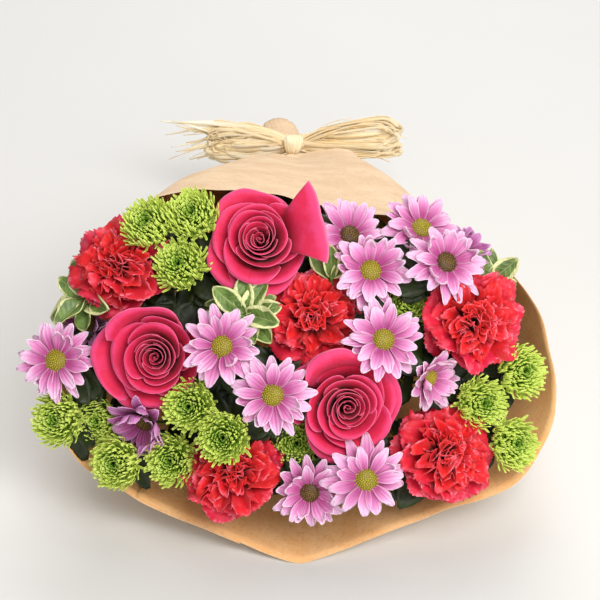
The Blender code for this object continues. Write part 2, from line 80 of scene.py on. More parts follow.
# The rim of the paper: reach in cm from a point low in the mouth, by direction in degrees.
RIM_REACH = (
    (-90, 12.6), (-68, 11.9), (-47, 12.8), (-30, 15.3), (-15, 16), (1, 15.7),
    (16, 14.8), (32, 13), (50, 11.3), (68, 10), (90, 10.1), (114, 11.6),
    (131, 13.6), (150, 14.3), (172, 15.4), (190, 15.6), (204, 15.2), (220, 13.2),
    (244, 11.9),
)
SHOULDER_CENTRE = Vector((-0.2, 25, 4)) * CM + SHIFT
SHOULDER_HALF_WIDTH = 5.2 * CM
SHOULDER_HALF_HEIGHT = 4 * CM
UNDERSIDE_SAG = 1 * CM
GATHER_STEPS = (0.2, 0.5, 0.8)
CONE_STEPS = (0, 0.2, 0.4, 0.6, 0.8, 1)

# The sheet of paper: it goes once round and laps over itself low on the left.
PAPER_FIRST_TURN = -140
PAPER_LAST_TURN = 252
PAPER_LAP_GAP = 1.3 * MM
PAPER_WALL = 0.35 * MM
PAPER_COLUMNS = 230
PAPER_ROWS = 104
# The crest of the wrapper, as a direction in degrees, and how far its two shoulders stand out and
# the crest between them lies in (mm).
CREST_TURN = 92
RIGHT_SHOULDER = 12.5
LEFT_SHOULDER = 7
CREST_DIP = 5.5
# Pleats at the neck, and creases that run out from it: number, widths (degrees), depths, how far
# they reach along the paper, and how far they lean (degrees).
PLEATS = 11
PLEAT_DEPTH = 3.6 * MM
CREASES = 34
CREASE_WIDTHS = (2.8, 6)
CREASE_DEPTHS = (1.2, 4)
CREASE_REACHES = (0.15, 0.5)
CREASE_LEANS = (-6, 6)

# Where each kind of bloom's own middle lies in front of the middle of its CAD head.
ROSE_AHEAD = 5 * MM
CARNATION_AHEAD = 8 * MM
DAISY_AHEAD = 2 * MM
MUM_AHEAD = 1.5 * MM

# Columns and rows of the grid that each petal or leaf is shaped from.
INNER_ROSE_GRID = (16, 14)
OUTER_ROSE_GRID = (22, 14)
GUARD_PETAL_GRID = (24, 18)
CARNATION_GRID = (24, 9)
DAISY_GRID = (6, 9)
MUM_GRID = (2, 4)
SPRIG_LEAF_GRID = (10, 14)
UNDER_LEAF_GRID = (4, 7)


# ---------------------------------------------------------------- shader expressions

def math_node(operation, swapped=False):
    """A method that adds a Math node; when it is swapped, the other value comes first."""

    def method(self, other=0):
        sockets = {0: other, 1: self} if swapped else {0: self, 1: other}
        return self.finish.node("Math", {"operation": operation}, sockets)

    return method


class Value:
    """A node's output, with arithmetic that adds Math nodes."""

    def __init__(self, finish, output):
        self.finish = finish
        self.output = output

    __add__ = math_node("ADD")
    __radd__ = math_node("ADD", True)
    __sub__ = math_node("SUBTRACT")
    __rsub__ = math_node("SUBTRACT", True)
    __mul__ = math_node("MULTIPLY")
    __rmul__ = math_node("MULTIPLY", True)
    __pow__ = math_node("POWER")
    __abs__ = math_node("ABSOLUTE")
    sine = math_node("SINE")


def linear(red, green, blue):
    """A colour given as screen values from 0 to 255, as the shader wants it."""
    parts = [part / 255 for part in (red, green, blue)]
    return tuple(p / 12.92 if p <= 0.04045 else ((p + 0.055) / 1.055) ** 2.4 for p in parts) + (1,)


class Finish:
    """A material being built on one Principled shader."""

    def __init__(self, name, specular=0.5, sheen=0, roughness=0.5):
        self.material = bpy.data.materials.new(name)
        self.material.use_nodes = True
        self.tree = self.material.node_tree
        self.shader = self.tree.nodes["Principled BSDF"].inputs
        self.shader["Specular IOR Level"].default_value = specular
        self.shader["Sheen Weight"].default_value = sheen
        self.shader["Roughness"].default_value = roughness

    def node(self, kind, settings=None, sockets=None, output=0):
        """Any node: its settings first, then its sockets' values or links."""
        made = self.tree.nodes.new("ShaderNode" + kind)
        for key, value in (settings or {}).items():
            setattr(made, key, value)
        for key, value in (sockets or {}).items():
            self.feed(made.inputs[key], value)
        return Value(self, made.outputs[output])

    def feed(self, socket, value):
        """Link a value to a socket, or set a constant on it."""
        if isinstance(value, Value):
            self.tree.links.new(value.output, socket)
        else:
            socket.default_value = value

    def done(self, colour, roughness=None, normal=None):
        """Link what varies to the shader's own sockets and hand over the material."""
        for socket, value in (("Base Color", colour), ("Roughness", roughness), ("Normal", normal)):
            if value is not None:
                self.feed(self.shader[socket], value)
        return self.material

    def place(self):
        """Object coordinates."""
        return self.node("TexCoord", output=3)

    def parts(self, name):
        """The three parts of an attribute that the mesh carries: across, along and tone."""
        whole = self.node("Attribute", {"attribute_name": name}, output=1)
        return [self.node("SeparateXYZ", None, {0: whole}, output=number) for number in range(3)]

    def noise(self, place, scale, detail=3, roughness=0.55):
        sockets = {"Vector": place, "Scale": scale, "Detail": detail, "Roughness": roughness}
        return self.node("TexNoise", None, sockets)

    def lines(self, parts, wide, long, apart=30):
        """Noise drawn out along a petal and different on each one."""
        across, along, tone = parts
        place = self.node("CombineXYZ", None, {0: across * wide, 1: along * long, 2: tone * apart})
        return self.noise(place, 1, 2)

    def stretched(self, place, scale):
        """Coordinates scaled differently in each direction."""
        return self.node("Mapping", None, {"Vector": place, "Scale": scale})

    def ramp(self, value, low, high):
        """0 below low, 1 above high and smooth between them."""
        settings = {"interpolation_type": "SMOOTHSTEP"}
        return self.node("MapRange", settings, {"Value": value, "From Min": low, "From Max": high})

    def mix(self, share, first, second):
        """Two colours mixed by a share, each a value or three screen values."""
        first, second = (linear(*part) if isinstance(part, tuple) else part for part in (first, second))
        return self.node("Mix", {"data_type": "RGBA"}, {0: share, 6: first, 7: second}, output=2)

    def tint(self, colour, tint, value, low, high, strength=1):
        """Bring a tint into a colour as a value rises from low to high."""
        return self.mix(self.ramp(value, low, high) * strength, colour, tint)

    def bump(self, height, distance, strength, under=None):
        sockets = {"Height": height, "Distance": distance, "Strength": strength}
        if under is not None:
            sockets["Normal"] = under
        return self.node("Bump", None, sockets)


# ---------------------------------------------------------------- finishes

def kraft_finish(name, light, dark, deep):
    """Kraft paper: cloudy pulp, specks, long faint streaks, short dark fibres and a dry tooth."""
    finish = Finish(name, 0.25)
    place = finish.place()
    clouds = finish.noise(place, 42, 4, 0.6)
    specks = finish.noise(place, 420, 4, 0.7)
    fine = finish.noise(place, 900, 3, 0.7)
    streaks = finish.noise(finish.stretched(place, (60, 900, 700)), 1, 3, 0.6)
    fibres = finish.noise(finish.stretched(place, (150, 900, 650)), 1, 1)
    colour = finish.tint(light, dark, clouds, 0.3, 0.72)
    colour = finish.tint(colour, dark, streaks, 0.42, 0.75, 0.35)
    colour = finish.tint(colour, deep, specks, 0.50, 0.66, 0.22)
    colour = finish.tint(colour, light, specks, 0.48, 0.34, 0.35)
    colour = finish.tint(colour, deep, fibres, 0.66, 0.74, 0.16)
    tooth = finish.bump(fine + specks + 0.8 * streaks, 0.00025, 0.5)
    return finish.done(colour, 0.76 + 0.14 * fine, finish.bump(clouds, 0.0012, 0.35, tooth))


def raffia_finish():
    """Straw ribbon with fibres along it, paler and browner strands and frayed dark edges."""
    finish = Finish("raffia_straw", sheen=0.15, roughness=0.62)
    across, along, tone = finish.parts("strand")
    place = finish.node("CombineXYZ", None, {0: across * 9 + tone * 40, 1: along * 1.6, 2: tone * 17})
    grain = finish.noise(place, 1, 3, 0.6)
    blotch = finish.noise(finish.place(), 85, 2)
    colour = finish.mix(tone, (255, 250, 230), (255, 238, 196))
    colour = finish.tint(colour, (250, 214, 146), grain, 0.45, 0.75, 0.45)
    colour = finish.tint(colour, (250, 220, 166), blotch, 0.52, 0.72, 0.35)
    colour = finish.tint(colour, (244, 198, 120), abs(across), 0.75, 1, 0.4)
    return finish.done(colour, None, finish.bump(grain, 0.0004, 0.5))


def rose_finish(name, cup_shade_and_veins, inner_petal_shade, face, rim, edge, veins):
    """Rose petal: painted shade deep in the cup and on the inner petals, red on its face, pinker where it
    rolls, a pale painted highlight along its very edge.
    """
    finish = Finish(name, 0.25, 0.06)
    across, along, tone = parts = finish.parts("petal")
    patch = finish.noise(finish.place(), 120, 2)
    reach = along + 0.08 * (patch - 0.5)
    # Painted shade: the inner petals, low in tone, take a darker red, as deep inside the rose.
    colour = finish.tint(inner_petal_shade, face, tone, 0.12, 0.72)
    # Painted shade: each petal darkens towards its base, down in the cup; the veins share this dark
    # colour.
    colour = finish.tint(cup_shade_and_veins, colour, reach + 0.22 * tone, 0.58, 0.92)
    colour = finish.tint(colour, rim, patch, 0.45, 0.75, 0.3)
    colour = finish.tint(colour, rim, reach, 0.82, 0.95, 0.35 + 0.55 * tone)
    # Painted highlight: a pale band along the petal's very edge.
    edge_highlight = finish.ramp(along, 0.965, 1) + finish.ramp(abs(across), 0.95, 1) * 0.4
    colour = finish.mix(edge_highlight * 0.5, colour, edge)
    lines = finish.lines(parts, 16, 1.3)
    colour = finish.tint(colour, cup_shade_and_veins, lines, 0.5, 0.8, veins)
    skin = finish.bump(lines, 0.0004, 0.4)
    return finish.done(colour, 0.56 + 0.2 * lines, finish.bump(patch, 0.0014, 0.35, skin))


def carnation_finish():
    """Carnation petal: crimson outside, orange red inside, with painted pink highlights and glints on the
    ruffles.
    """
    finish = Finish("carnation_ruffle", 0.35, 0.1)
    _, along, tone = parts = finish.parts("petal")
    lines = finish.lines(parts, 14, 1.5)
    patch = finish.noise(finish.place(), 150, 2)
    blade = finish.tint((224, 32, 34), (218, 28, 66), tone, 0.35, 0.85)
    colour = finish.tint((122, 3, 10), blade, along, 0.30, 0.80)
    colour = finish.tint(colour, (190, 12, 28), lines, 0.5, 0.8, 0.3)
    # Painted highlights: soft pink patches near the tips where the ruffles catch the light.
    light = finish.ramp(patch, 0.50, 0.66) * 0.4
    colour = finish.tint(colour, (255, 110, 136), along, 0.70, 0.95, light)
    # Painted glints: pale pink flecks along the toothed edges.
    glint = finish.ramp(lines, 0.42, 0.62) * finish.ramp(patch, 0.40, 0.60) * 0.7
    colour = finish.tint(colour, (255, 150, 170), along, 0.94, 1, glint)
    return finish.done(colour, 0.42 + 0.2 * patch, finish.bump(lines, 0.0004, 0.6))


def daisy_finish(name, base, blade, tip, edge, depth):
    """Daisy petal: grooved lengthwise, its colour deeper towards the disc, with painted shade in the
    grooves and down the channel.
    """
    finish = Finish(name, sheen=0.15)
    across, along, tone = parts = finish.parts("petal")
    ribs = (across * 11).sine()
    lines = finish.lines(parts, 7, 1.1)
    shade = finish.noise(finish.place(), 90, 2)
    reach = along + 0.22 * (tone - 0.5) + 0.2 * (shade - 0.5)
    colour = finish.tint(base, blade, reach, 0.10, 0.64)
    colour = finish.tint(colour, tip, reach, 0.50, 0.95)
    middle = 1 - finish.ramp(abs(across), 0, 0.34)
    groove_shade_and_streaks = (0.5 - 0.5 * ribs) * 0.25 + finish.ramp(lines, 0.45, 0.8) * 0.35 + middle * 0.3
    # Painted shade: the grooves, the middle channel and the streaks darken towards the base colour, most
    # near the disc; depth sets how much.
    colour = finish.mix(groove_shade_and_streaks * depth * (1.15 - 0.75 * along), colour, base)
    colour = finish.tint(colour, edge, abs(across), 0.80, 1, 0.3)
    colour = finish.tint(colour, edge, along, 0.93, 1, 0.6)
    return finish.done(colour, 0.42 + 0.18 * lines, finish.bump(ribs * 0.5 + lines, 0.0005, 0.6))


def floret_finish(name, foot, blade, tip, inner=0.25):
    """Small florets: dark at the foot and bright at the tip; inner darkens those with a low tone."""
    finish = Finish(name)
    across, along, tone = finish.parts("petal")
    patch = finish.noise(finish.place(), 170, 2)
    reach = along + inner * (tone - 0.5) + 0.2 * (patch - 0.5)
    colour = finish.tint(foot, blade, reach, 0.10, 0.58)
    colour = finish.tint(colour, tip, reach, 0.58, 0.98)
    colour = finish.mix((1 - finish.ramp(abs(across), 0.1, 0.7)) * 0.3, colour, foot)
    return finish.done(colour, 0.4 + 0.2 * patch, finish.bump(patch, 0.0006, 0.5))


def green_finish(name, light, dark):
    """Stems, calyxes and plain leaves: ribbed green with paler and browner lengths."""
    finish = Finish(name)
    place = finish.place()
    ribs = finish.noise(finish.stretched(place, (700, 60, 700)), 1)
    colour = finish.tint(dark, light, finish.noise(place, 55), 0.3, 0.7)
    colour = finish.tint(colour, dark, ribs, 0.45, 0.7, 0.5)
    return finish.done(colour, 0.42 + 0.22 * ribs, finish.bump(ribs, 0.0004, 0.6))


def leaf_finish(name, shade, blade, margin):
    """Variegated leaf: mottled green, side veins and a broad uneven cream margin."""
    finish = Finish(name)
    across, along, tone = parts = finish.parts("petal")
    mottle = finish.noise(finish.place(), 130)
    wander = finish.lines(parts, 1.2, 3.2, 23)
    colour = finish.tint(shade, blade, mottle, 0.35, 0.68)
    from_middle = abs(across)
    veins = ((along * 44 + from_middle * 9).sine() * 0.5 + 0.5) ** 6
    colour = finish.mix(veins * 0.3, colour, blade)
    width = 0.80 + 0.7 * (wander - 0.5) - 0.28 * (tone - 0.3)
    colour = finish.tint(colour, margin, from_middle - width, -0.04, 0.07)
    colour = finish.tint(colour, margin, along, 0.90, 0.99, 0.6)
    rib = 1 - finish.ramp(from_middle, 0.02, 0.08)
    colour = finish.mix(rib * 0.3, colour, margin)
    return finish.done(colour, 0.32 + 0.2 * mottle, finish.bump(veins + rib * 2, 0.0004, 0.5))


def floor_finish():
    """A matt pale surface with faint clouding."""
    finish = Finish("pale_surface", 0.2, roughness=0.7)
    clouds = finish.noise(finish.place(), 3, 4)
    return finish.done(finish.mix(clouds, (219, 218, 215), (226, 225, 223)))


# Every finish of the bouquet, by a short name.
FINISHES = {
    "kraft": kraft_finish("kraft_outside", (240, 212, 178), (226, 193, 155), (190, 148, 106)),
    # The inside of the sheet is the same kraft paper, given a warmer, more saturated and brighter colour:
    # painted warm bounce light inside the cone.
    "kraft_inside_warm_bounce": kraft_finish("kraft_inside_warm_bounce", (254, 204, 146), (248, 186, 120), (184, 112, 54)),
    "raffia": raffia_finish(),
    "rose_front": rose_finish("rose_petal_front", (96, 2, 12), (176, 14, 34), (224, 38, 58),
                              (230, 54, 104), (248, 140, 168), 0.12),
    "rose_back": rose_finish("rose_petal_back", (160, 14, 46), (190, 22, 64), (220, 40, 82),
                             (232, 72, 128), (248, 150, 184), 0.15),
    "carnation": carnation_finish(),
    "daisy_front": daisy_finish("daisy_petal_front", (196, 66, 140), (240, 152, 206),
                                (253, 216, 241), (255, 246, 253), 0.95),
    "daisy_back": daisy_finish("daisy_petal_back", (176, 60, 130), (226, 136, 194),
                               (246, 200, 234), (255, 236, 248), 0.6),
    # A darker copy of the daisy petal finish: painted shade for the daisies that lie in shadow.
    "daisy_deep": daisy_finish("daisy_petal_painted_shade", (138, 34, 102), (180, 78, 150),
                               (214, 142, 202), (238, 196, 230), 0.8),
    "disc": floret_finish("daisy_disc", (128, 112, 18), (164, 150, 26), (186, 174, 44)),
    "disc_dark": floret_finish("daisy_disc_dark", (70, 40, 14), (100, 74, 20), (132, 108, 36)),
    "mum": floret_finish("green_mum_floret", (16, 44, 6), (112, 162, 30), (222, 240, 112), 1),
    "stem": green_finish("stem_green", (116, 150, 62), (58, 90, 28)),
    "leaf_front": leaf_finish("leaf_front", (50, 64, 14), (98, 122, 36), (210, 212, 128)),
    "leaf_back": leaf_finish("leaf_back", (84, 110, 48), (120, 148, 72), (226, 228, 166)),
    # Dark green for the leaves under the blooms: their own green, darkened further as painted shade for
    # the gaps between the heads.
    "leaf_dark": green_finish("spray_leaf_green_painted_shade", (46, 62, 15), (20, 30, 8)),
}


# ---------------------------------------------------------------- small helpers

def smooth_step(value, low, high):
    share = min(max((value - low) / (high - low), 0), 1)
    return share * share * (3 - 2 * share)


def smooth_route(points, count):
    """Evenly numbered points on a Catmull-Rom curve through the given points."""
    ends = [2 * points[0] - points[1], *points, 2 * points[-1] - points[-2]]
    spans = len(points) - 1
    route = []
    for step in range(count):
        place = spans * step / (count - 1)
        span = min(int(place), spans - 1)
        a, b, c, d = ends[span:span + 4]
        f = place - span
        route.append(0.5 * (2 * b + (c - a) * f + (2 * a - 5 * b + 4 * c - d) * f ** 2
                            + (3 * b - a - 3 * c + d) * f ** 3))
    return route


def new_form(layer):
    """An empty bmesh that carries a three-part attribute for its pattern."""
    form = bmesh.new()
    form.verts.layers.float_vector.new(layer)
    return form


def use_slot(verts, slot):
    """Give the faces round these corners one of the piece's finishes."""
    for face in {face for vert in verts for face in vert.link_faces}:
        face.material_index = slot


def add_patch(form, layer_name, grid, shape, tone, slot=0):
    """A grid moved by a shape: across runs from -1 to 1 and along from 0 to 1."""
    columns, rows = grid
    made = bmesh.ops.create_grid(form, x_segments=columns, y_segments=rows, size=1)
    layer = form.verts.layers.float_vector[layer_name]
    for vert in made["verts"]:
        across = vert.co.x
        along = (vert.co.y + 1) / 2
        vert.co = shape(across, along)
        vert[layer] = (across, along, tone)
    use_slot(made["verts"], slot)
    return made["verts"]


def mesh_of(form, name):
    """Close a bmesh into a smooth-shaded mesh."""
    for face in form.faces:
        face.smooth = True
    mesh = bpy.data.meshes.new(name)
    form.to_mesh(mesh)
    form.free()
    return mesh


def new_object(name, data):
    """An object in the scene that holds a mesh, a lamp or a camera."""
    made = bpy.data.objects.new(name, data)
    bpy.context.scene.collection.objects.link(made)
    return made


def add_piece(name, mesh, kinds, replaced, wall, back=0):
    """Make an object of a thin mesh: it gets finishes and a wall, and replaces its CAD nodes."""
    piece = new_object(name, mesh)
    for kind in kinds:
        mesh.materials.append(FINISHES[kind])
    thick = piece.modifiers.new("wall", "SOLIDIFY")
    thick.thickness = wall
    thick.offset = -1
    thick.material_offset = back
    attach(piece, "root")
    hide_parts(*replaced)
    return piece


def square_side(axis):
    """The direction square to an axis that lies nearest to +X."""
    return (ACROSS - axis * ACROSS.dot(axis)).normalized()


def box_middle(node):
    """The middle of a CAD node's box."""
    low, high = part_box(node)
    return (low + high) / 2


def any_phase(rng):
    """Where a petal's or a leaf's waves start, in radians."""
    return rng.uniform(0, 6.28)


def petal_sides(turn):
    """The directions outwards and sideways of a petal, by its direction in degrees."""
    angle = radians(turn)
    return Vector((cos(angle), sin(angle), 0)), Vector((-sin(angle), cos(angle), 0))


def facing_at(point, turn_right=0, turn_up=0):
    """The direction in which a head at this point of the dome looks, in degrees of extra turn."""
    facing = (point - DOME_CENTRE).normalized()
    facing = Matrix.Rotation(radians(turn_right), 3, UP) @ facing
    return (Matrix.Rotation(radians(turn_up), 3, -ACROSS) @ facing).normalized()


def head_place(node, ahead, turn_right=0, turn_up=0, spin=0, size=1):
    """The matrix that puts a bloom, built round its own middle and facing +Z, on its CAD head."""
    middle = box_middle(node)
    facing = facing_at(middle, turn_right, turn_up)
    turn = facing.to_track_quat("Z", "Y").to_matrix().to_4x4()
    centre = middle + facing * ahead * size
    return (Matrix.Translation(centre) @ turn @ Matrix.Rotation(radians(spin), 4, "Z")
            @ Matrix.Scale(size, 4))


def add_turned(form, profile, sides, slot):
    """A small solid turned about +Z from (radius, height) in mm, such as a calyx."""
    before = set(form.faces)
    corners = [form.verts.new((radius * MM, 0, height * MM)) for radius, height in profile]
    edges = [form.edges.new(pair) for pair in zip(corners, corners[1:])]
    bmesh.ops.spin(form, geom=corners + edges, cent=(0, 0, 0), axis=(0, 0, 1),
                   angle=2 * pi, steps=sides, use_merge=True)
    solid = [face for face in form.faces if face not in before]
    for face in solid:
        face.material_index = slot
    bmesh.ops.remove_doubles(form, verts=list({v for f in solid for v in f.verts}), dist=WELD)


def leaf_blade(start, way, normal, length, curl, fold, phase):
    """An oval leaf with a wavy margin that folds along its rib and bends back."""
    side = normal.cross(way).normalized()
    upright = way.cross(side).normalized()

    def shape(across, along):
        half = 0.27 * length * sin(pi * (0.03 + 0.95 * along) ** 1.05) ** 0.66
        rise = fold * abs(across) * half - curl * length * along ** 2
        wave = 0.06 * length * sin(9 * along + phase + 2 * across) * across * across
        return start + way * length * along + side * across * half + upright * (rise + wave)

    return shape


def leaf_arc(node, spin):
    """Where the leaves under a bloom may point: the middle of the arc and its width in degrees.

    A bloom near the edge of the paper has no leaves on its outer side.
    """
    away = box_middle(node) - MOUTH_CENTRE
    across = away.dot(ACROSS)
    up = away.dot(UP) - RIM_CENTRE_UP / 2
    inward = degrees(atan2(-up, -across)) - spin
    return inward, 360 - 190 * smooth_step(hypot(across, up), 5.5 * CM, 9.5 * CM)


def add_under_leaves(form, rng, arc, count, heights, lengths, slot):
    """Plain leaves on the stem under a bloom that faces +Z: heights and lengths in mm."""
    for index in range(count):
        angle = radians(arc[0] + arc[1] * ((index + 0.5) / count - 0.5) + rng.uniform(-14, 14))
        rise = radians(rng.uniform(-14, 10))
        way = Vector((cos(angle) * cos(rise), sin(angle) * cos(rise), sin(rise)))
        blade = leaf_blade(HEAD_AXIS * rng.uniform(*heights) * MM, way, HEAD_AXIS,
                           rng.uniform(*lengths) * MM, rng.uniform(-0.1, 0.2), 0.3, any_phase(rng))
        add_patch(form, "petal", UNDER_LEAF_GRID, blade, rng.random(), slot)


# ---------------------------------------------------------------- wrapper

def rim_point(turn):
    """The paper's edge at a direction in the mouth, in degrees."""
    first = RIM_REACH[0][0]
    angle = (turn - first) % 360 + first
    count = len(RIM_REACH)
    index = max(i for i in range(count) if RIM_REACH[i][0] <= angle)

    def entry(i):
        return RIM_REACH[i % count][0] + 360 * (i // count), RIM_REACH[i % count][1]

    (a0, r0), (a1, r1), (a2, r2), (a3, r3) = (entry(index + k) for k in (-1, 0, 1, 2))
    f = (angle - a1) / (a2 - a1)
    slope_1 = (r2 - r0) / (a2 - a0) * (a2 - a1)
    slope_2 = (r3 - r1) / (a3 - a1) * (a2 - a1)
    if index == 0:
        slope_1 = 1.7 * (r2 - r1)
    if index == count - 1:
        slope_2 = 1.7 * (r2 - r1)
    reach = ((2 * f ** 3 - 3 * f ** 2 + 1) * r1 + (f ** 3 - 2 * f ** 2 + f) * slope_1
             + (3 * f ** 2 - 2 * f ** 3) * r2 + (f ** 3 - f ** 2) * slope_2)
    side = radians(turn)
    return (MOUTH_CENTRE + ACROSS * reach * cos(side) * CM
            + UP * (RIM_CENTRE_UP + reach * sin(side) * CM))


def neck_axis():
    """The direction of the neck, from the tail towards the blooms."""
    return (NECK_FRONT - NECK_BACK).normalized()


def neck_sides():
    """The directions across and up in the neck's cross-section."""
    axis = neck_axis()
    side = square_side(axis)
    top = side.cross(axis)
    return side, top if top.z > 0 else -top


def ring_point(centre, radius, turn):
    """A point on a ring round the neck or the tail."""
    side, top = neck_sides()
    angle = radians(turn)
    return centre + (side * cos(angle) + top * sin(angle)) * radius


def shoulder_point(turn):
    """A point on the wide, low ring where the gathers end."""
    angle = radians(turn)
    return SHOULDER_CENTRE + Vector((SHOULDER_HALF_WIDTH * cos(angle), 0,
                                     SHOULDER_HALF_HEIGHT * sin(angle)))


def gather_point(along, turn):
    """The paper between the neck (0) and the shoulder (1), rounded at the shoulder."""
    start = ring_point(NECK_FRONT, NECK_RADIUS, turn)
    end = shoulder_point(turn)
    spread = sin(along * pi / 2)
    return Vector((start.x + (end.x - start.x) * spread, start.y + (end.y - start.y) * along,
                   start.z + (end.z - start.z) * spread))


def cone_point(along, turn):
    """The paper between the shoulder (0) and the rim (1), flat where it lies down."""
    point = shoulder_point(turn).lerp(rim_point(turn), along)
    low = max(0, -sin(radians(turn)))
    point.z -= low * UNDERSIDE_SAG * sin(pi * along)
    point.z = max(point.z, 0)
    return point


def paper_line(turn):
    """One line of the paper from the tail's end to the rim."""
    tail_middle = NECK_BACK.lerp(TAIL_END, TAIL_MIDDLE_SHARE)
    points = [ring_point(TAIL_END, TAIL_RADIUS, turn), ring_point(tail_middle, TAIL_MIDDLE_RADIUS, turn),
              ring_point(NECK_BACK, NECK_RADIUS, turn), ring_point(NECK_FRONT, NECK_RADIUS, turn)]
    points += [gather_point(along, turn) for along in GATHER_STEPS]
    points += [cone_point(along, turn) for along in CONE_STEPS]
    return smooth_route(points, PAPER_ROWS + 1)


def paper_creases(rng):
    """Creases that run out from the neck: direction, width, depth, how far they reach and lean."""
    span = PAPER_LAST_TURN - PAPER_FIRST_TURN
    creases = []
    for number in range(CREASES):
        turn = PAPER_FIRST_TURN + span * (number + rng.random()) / CREASES
        creases.append((turn, rng.uniform(*CREASE_WIDTHS), rng.uniform(*CREASE_DEPTHS) * MM,
                        rng.uniform(*CREASE_REACHES), rng.uniform(*CREASE_LEANS)))
    return creases


def paper_top(turn):
    """1 on the crest of the wrapper, which stays smooth, falling to 0 down its sides."""
    return exp(-((turn - CREST_TURN) / 55) ** 2)


def gather_depth(turn, along):
    """Small pleats where the paper is drawn in to the neck, deepest away from its smooth top."""
    near = smooth_step(along, 0.20, 0.27) * (1 - smooth_step(along, 0.52, 0.78))
    pleat = abs(sin(radians(turn) * PLEATS + 1.5 * sin(radians(turn) * 3)))
    return PLEAT_DEPTH * near * (0.9 - pleat) * (1 - 0.75 * paper_top(turn))


def crease_depth(creases, turn, along):
    """How far the creases push the paper in at a place; along is 0 at the tail and 1 at the rim."""
    from_neck = abs(along - 0.26)
    depth = 0
    for middle, width, deep, reach, lean in creases:
        away = (turn - middle - lean * (along - 0.3)) / (width * (0.7 + 1.2 * along))
        if abs(away) < 3.5:
            fade = max(0, 1 - max(0, along - 0.50) / reach) ** 1.5
            crease = exp(-away * away) - 0.45 * exp(-away * away / 3)
            depth += deep * crease * fade * (1 - 0.5 * smooth_step(from_neck, 0, 0.2))
    return depth * (1 - 0.75 * paper_top(turn))


def fuller_paper(turn, along):
    """Where the paper stands proud of its CAD cone: both shoulders out, the crest between them in."""
    right = exp(-((turn - 46) / 27) ** 2) * smooth_step(along, 0.36, 0.52)
    right *= 1 - 0.9 * smooth_step(along, 0.70, 0.98)
    left = exp(-((turn - 128) / 26) ** 2) * smooth_step(along, 0.40, 0.62)
    left *= 1 - 0.9 * smooth_step(along, 0.86, 1)
    crest = exp(-((turn - CREST_TURN) / 23) ** 2) * smooth_step(along, 0.34, 0.46)
    crest *= 1 - smooth_step(along, 0.56, 0.76)
    return RIGHT_SHOULDER * right + LEFT_SHOULDER * left - CREST_DIP * crest


def paper_waves(turn, along):
    """Long soft waves of the open paper, its fuller shoulders and a livelier edge at the rim."""
    side = radians(turn)
    open_paper = smooth_step(along, 0.4, 1)
    wave = 0.5 * sin(3 * side + 5 * along) + 0.35 * sin(7 * side - 4 * along)
    edge = 0.8 * sin(9 * side + 0.6) + 0.5 * sin(17 * side + 1.3) + 0.3 * sin(29 * side)
    lip = exp(-((abs(turn - 90) - 180) / 55) ** 4)
    edge *= (1 - 0.85 * lip) * smooth_step(along, 0.85, 1)
    return (wave * open_paper * (1 - 0.6 * lip) + edge - fuller_paper(turn, along)) * MM


def paper_wrapper():
    """One sheet rolled into a cone, gathered at the neck, with a lap low on its left side."""
    creases = paper_creases(random.Random(11))
    span = PAPER_LAST_TURN - PAPER_FIRST_TURN
    lines = [paper_line(PAPER_FIRST_TURN + span * column / PAPER_COLUMNS)
             for column in range(PAPER_COLUMNS + 1)]
    round_once = round(360 / span * PAPER_COLUMNS)
    middles = [sum((line[row] for line in lines[:round_once]), Vector()) / round_once
               for row in range(PAPER_ROWS + 1)]

    def shape(across, along):
        column = round((across + 1) / 2 * PAPER_COLUMNS)
        row = round(along * PAPER_ROWS)
        turn = PAPER_FIRST_TURN + span * column / PAPER_COLUMNS
        point = lines[column][row].copy()
        inward = (middles[row] - point).normalized()
        lap = PAPER_LAP_GAP * (1 - smooth_step(turn, PAPER_FIRST_TURN, PAPER_FIRST_TURN + 80))
        lap *= 0.5 + 0.5 * smooth_step(along, 0.2, 0.5)
        drawn_in = crease_depth(creases, turn, along) + gather_depth(turn, along)
        point += inward * (lap + drawn_in + paper_waves(turn, along))
        point.z = max(point.z, PAPER_WALL * 1.2)
        return point

    form = new_form("petal")
    add_patch(form, "petal", (PAPER_COLUMNS, PAPER_ROWS), shape, 0.5)
    mesh = mesh_of(form, "paper_wrapper_sheet")
    # The inner shell takes the inside finish, which paints warm bounce light on the kraft.
    piece = add_piece("paper_wrapper_sheet", mesh, ("kraft", "kraft_inside_warm_bounce"),
                      ("paper_wrapper",), PAPER_WALL, 1)


# ---------------------------------------------------------------- tie

STRAND_WALL = 0.3 * MM
WRAP_TURNS = 13
WRAP_LENGTH = 8.4 * MM
WRAP_RADIUS = 16.2 * MM
WRAP_STEPS = 32
KNOT_RIBBONS = 11
KNOT_STEPS = 24
KNOT_CORE = Vector((6, 7, 7.4)) * MM
LEFT_REACH = 62
RIGHT_REACH = 77
# The way in which the ribbons of the bow are wide.
BOW_SIDE_WAY = Vector((0, -0.5, 1))


def strand_shape(route, side_way, width, twist, cup, taper):
    """A flat ribbon along a route, widest in its middle, that twists as it goes."""
    last = len(route) - 1

    def shape(across, along):
        index = round(along * last)
        before = route[max(index - 1, 0)]
        after = route[min(index + 1, last)]
        ahead = (after - before).normalized()
        side = (side_way - ahead * side_way.dot(ahead)).normalized()
        side = Matrix.Rotation(twist * along + 0.4 * sin(9 * along + twist), 3, ahead) @ side
        flat = ahead.cross(side)
        half = width / 2 * (1 - taper * along ** 3) * (0.75 + 0.25 * sin(pi * along))
        return route[index] + side * across * half + flat * cup * across * across

    return shape


def raffia_ribbon(form, rng, route, width, side_way, taper=0, twist=1.5, rows=40):
    """One strand of raffia."""
    turn = rng.uniform(-twist, twist)
    cup = rng.uniform(-0.5, 0.5) * MM
    shape = strand_shape(smooth_route(route, rows + 1), side_way, width, turn, cup, taper)
    add_patch(form, "strand", (2, rows), shape, rng.random())


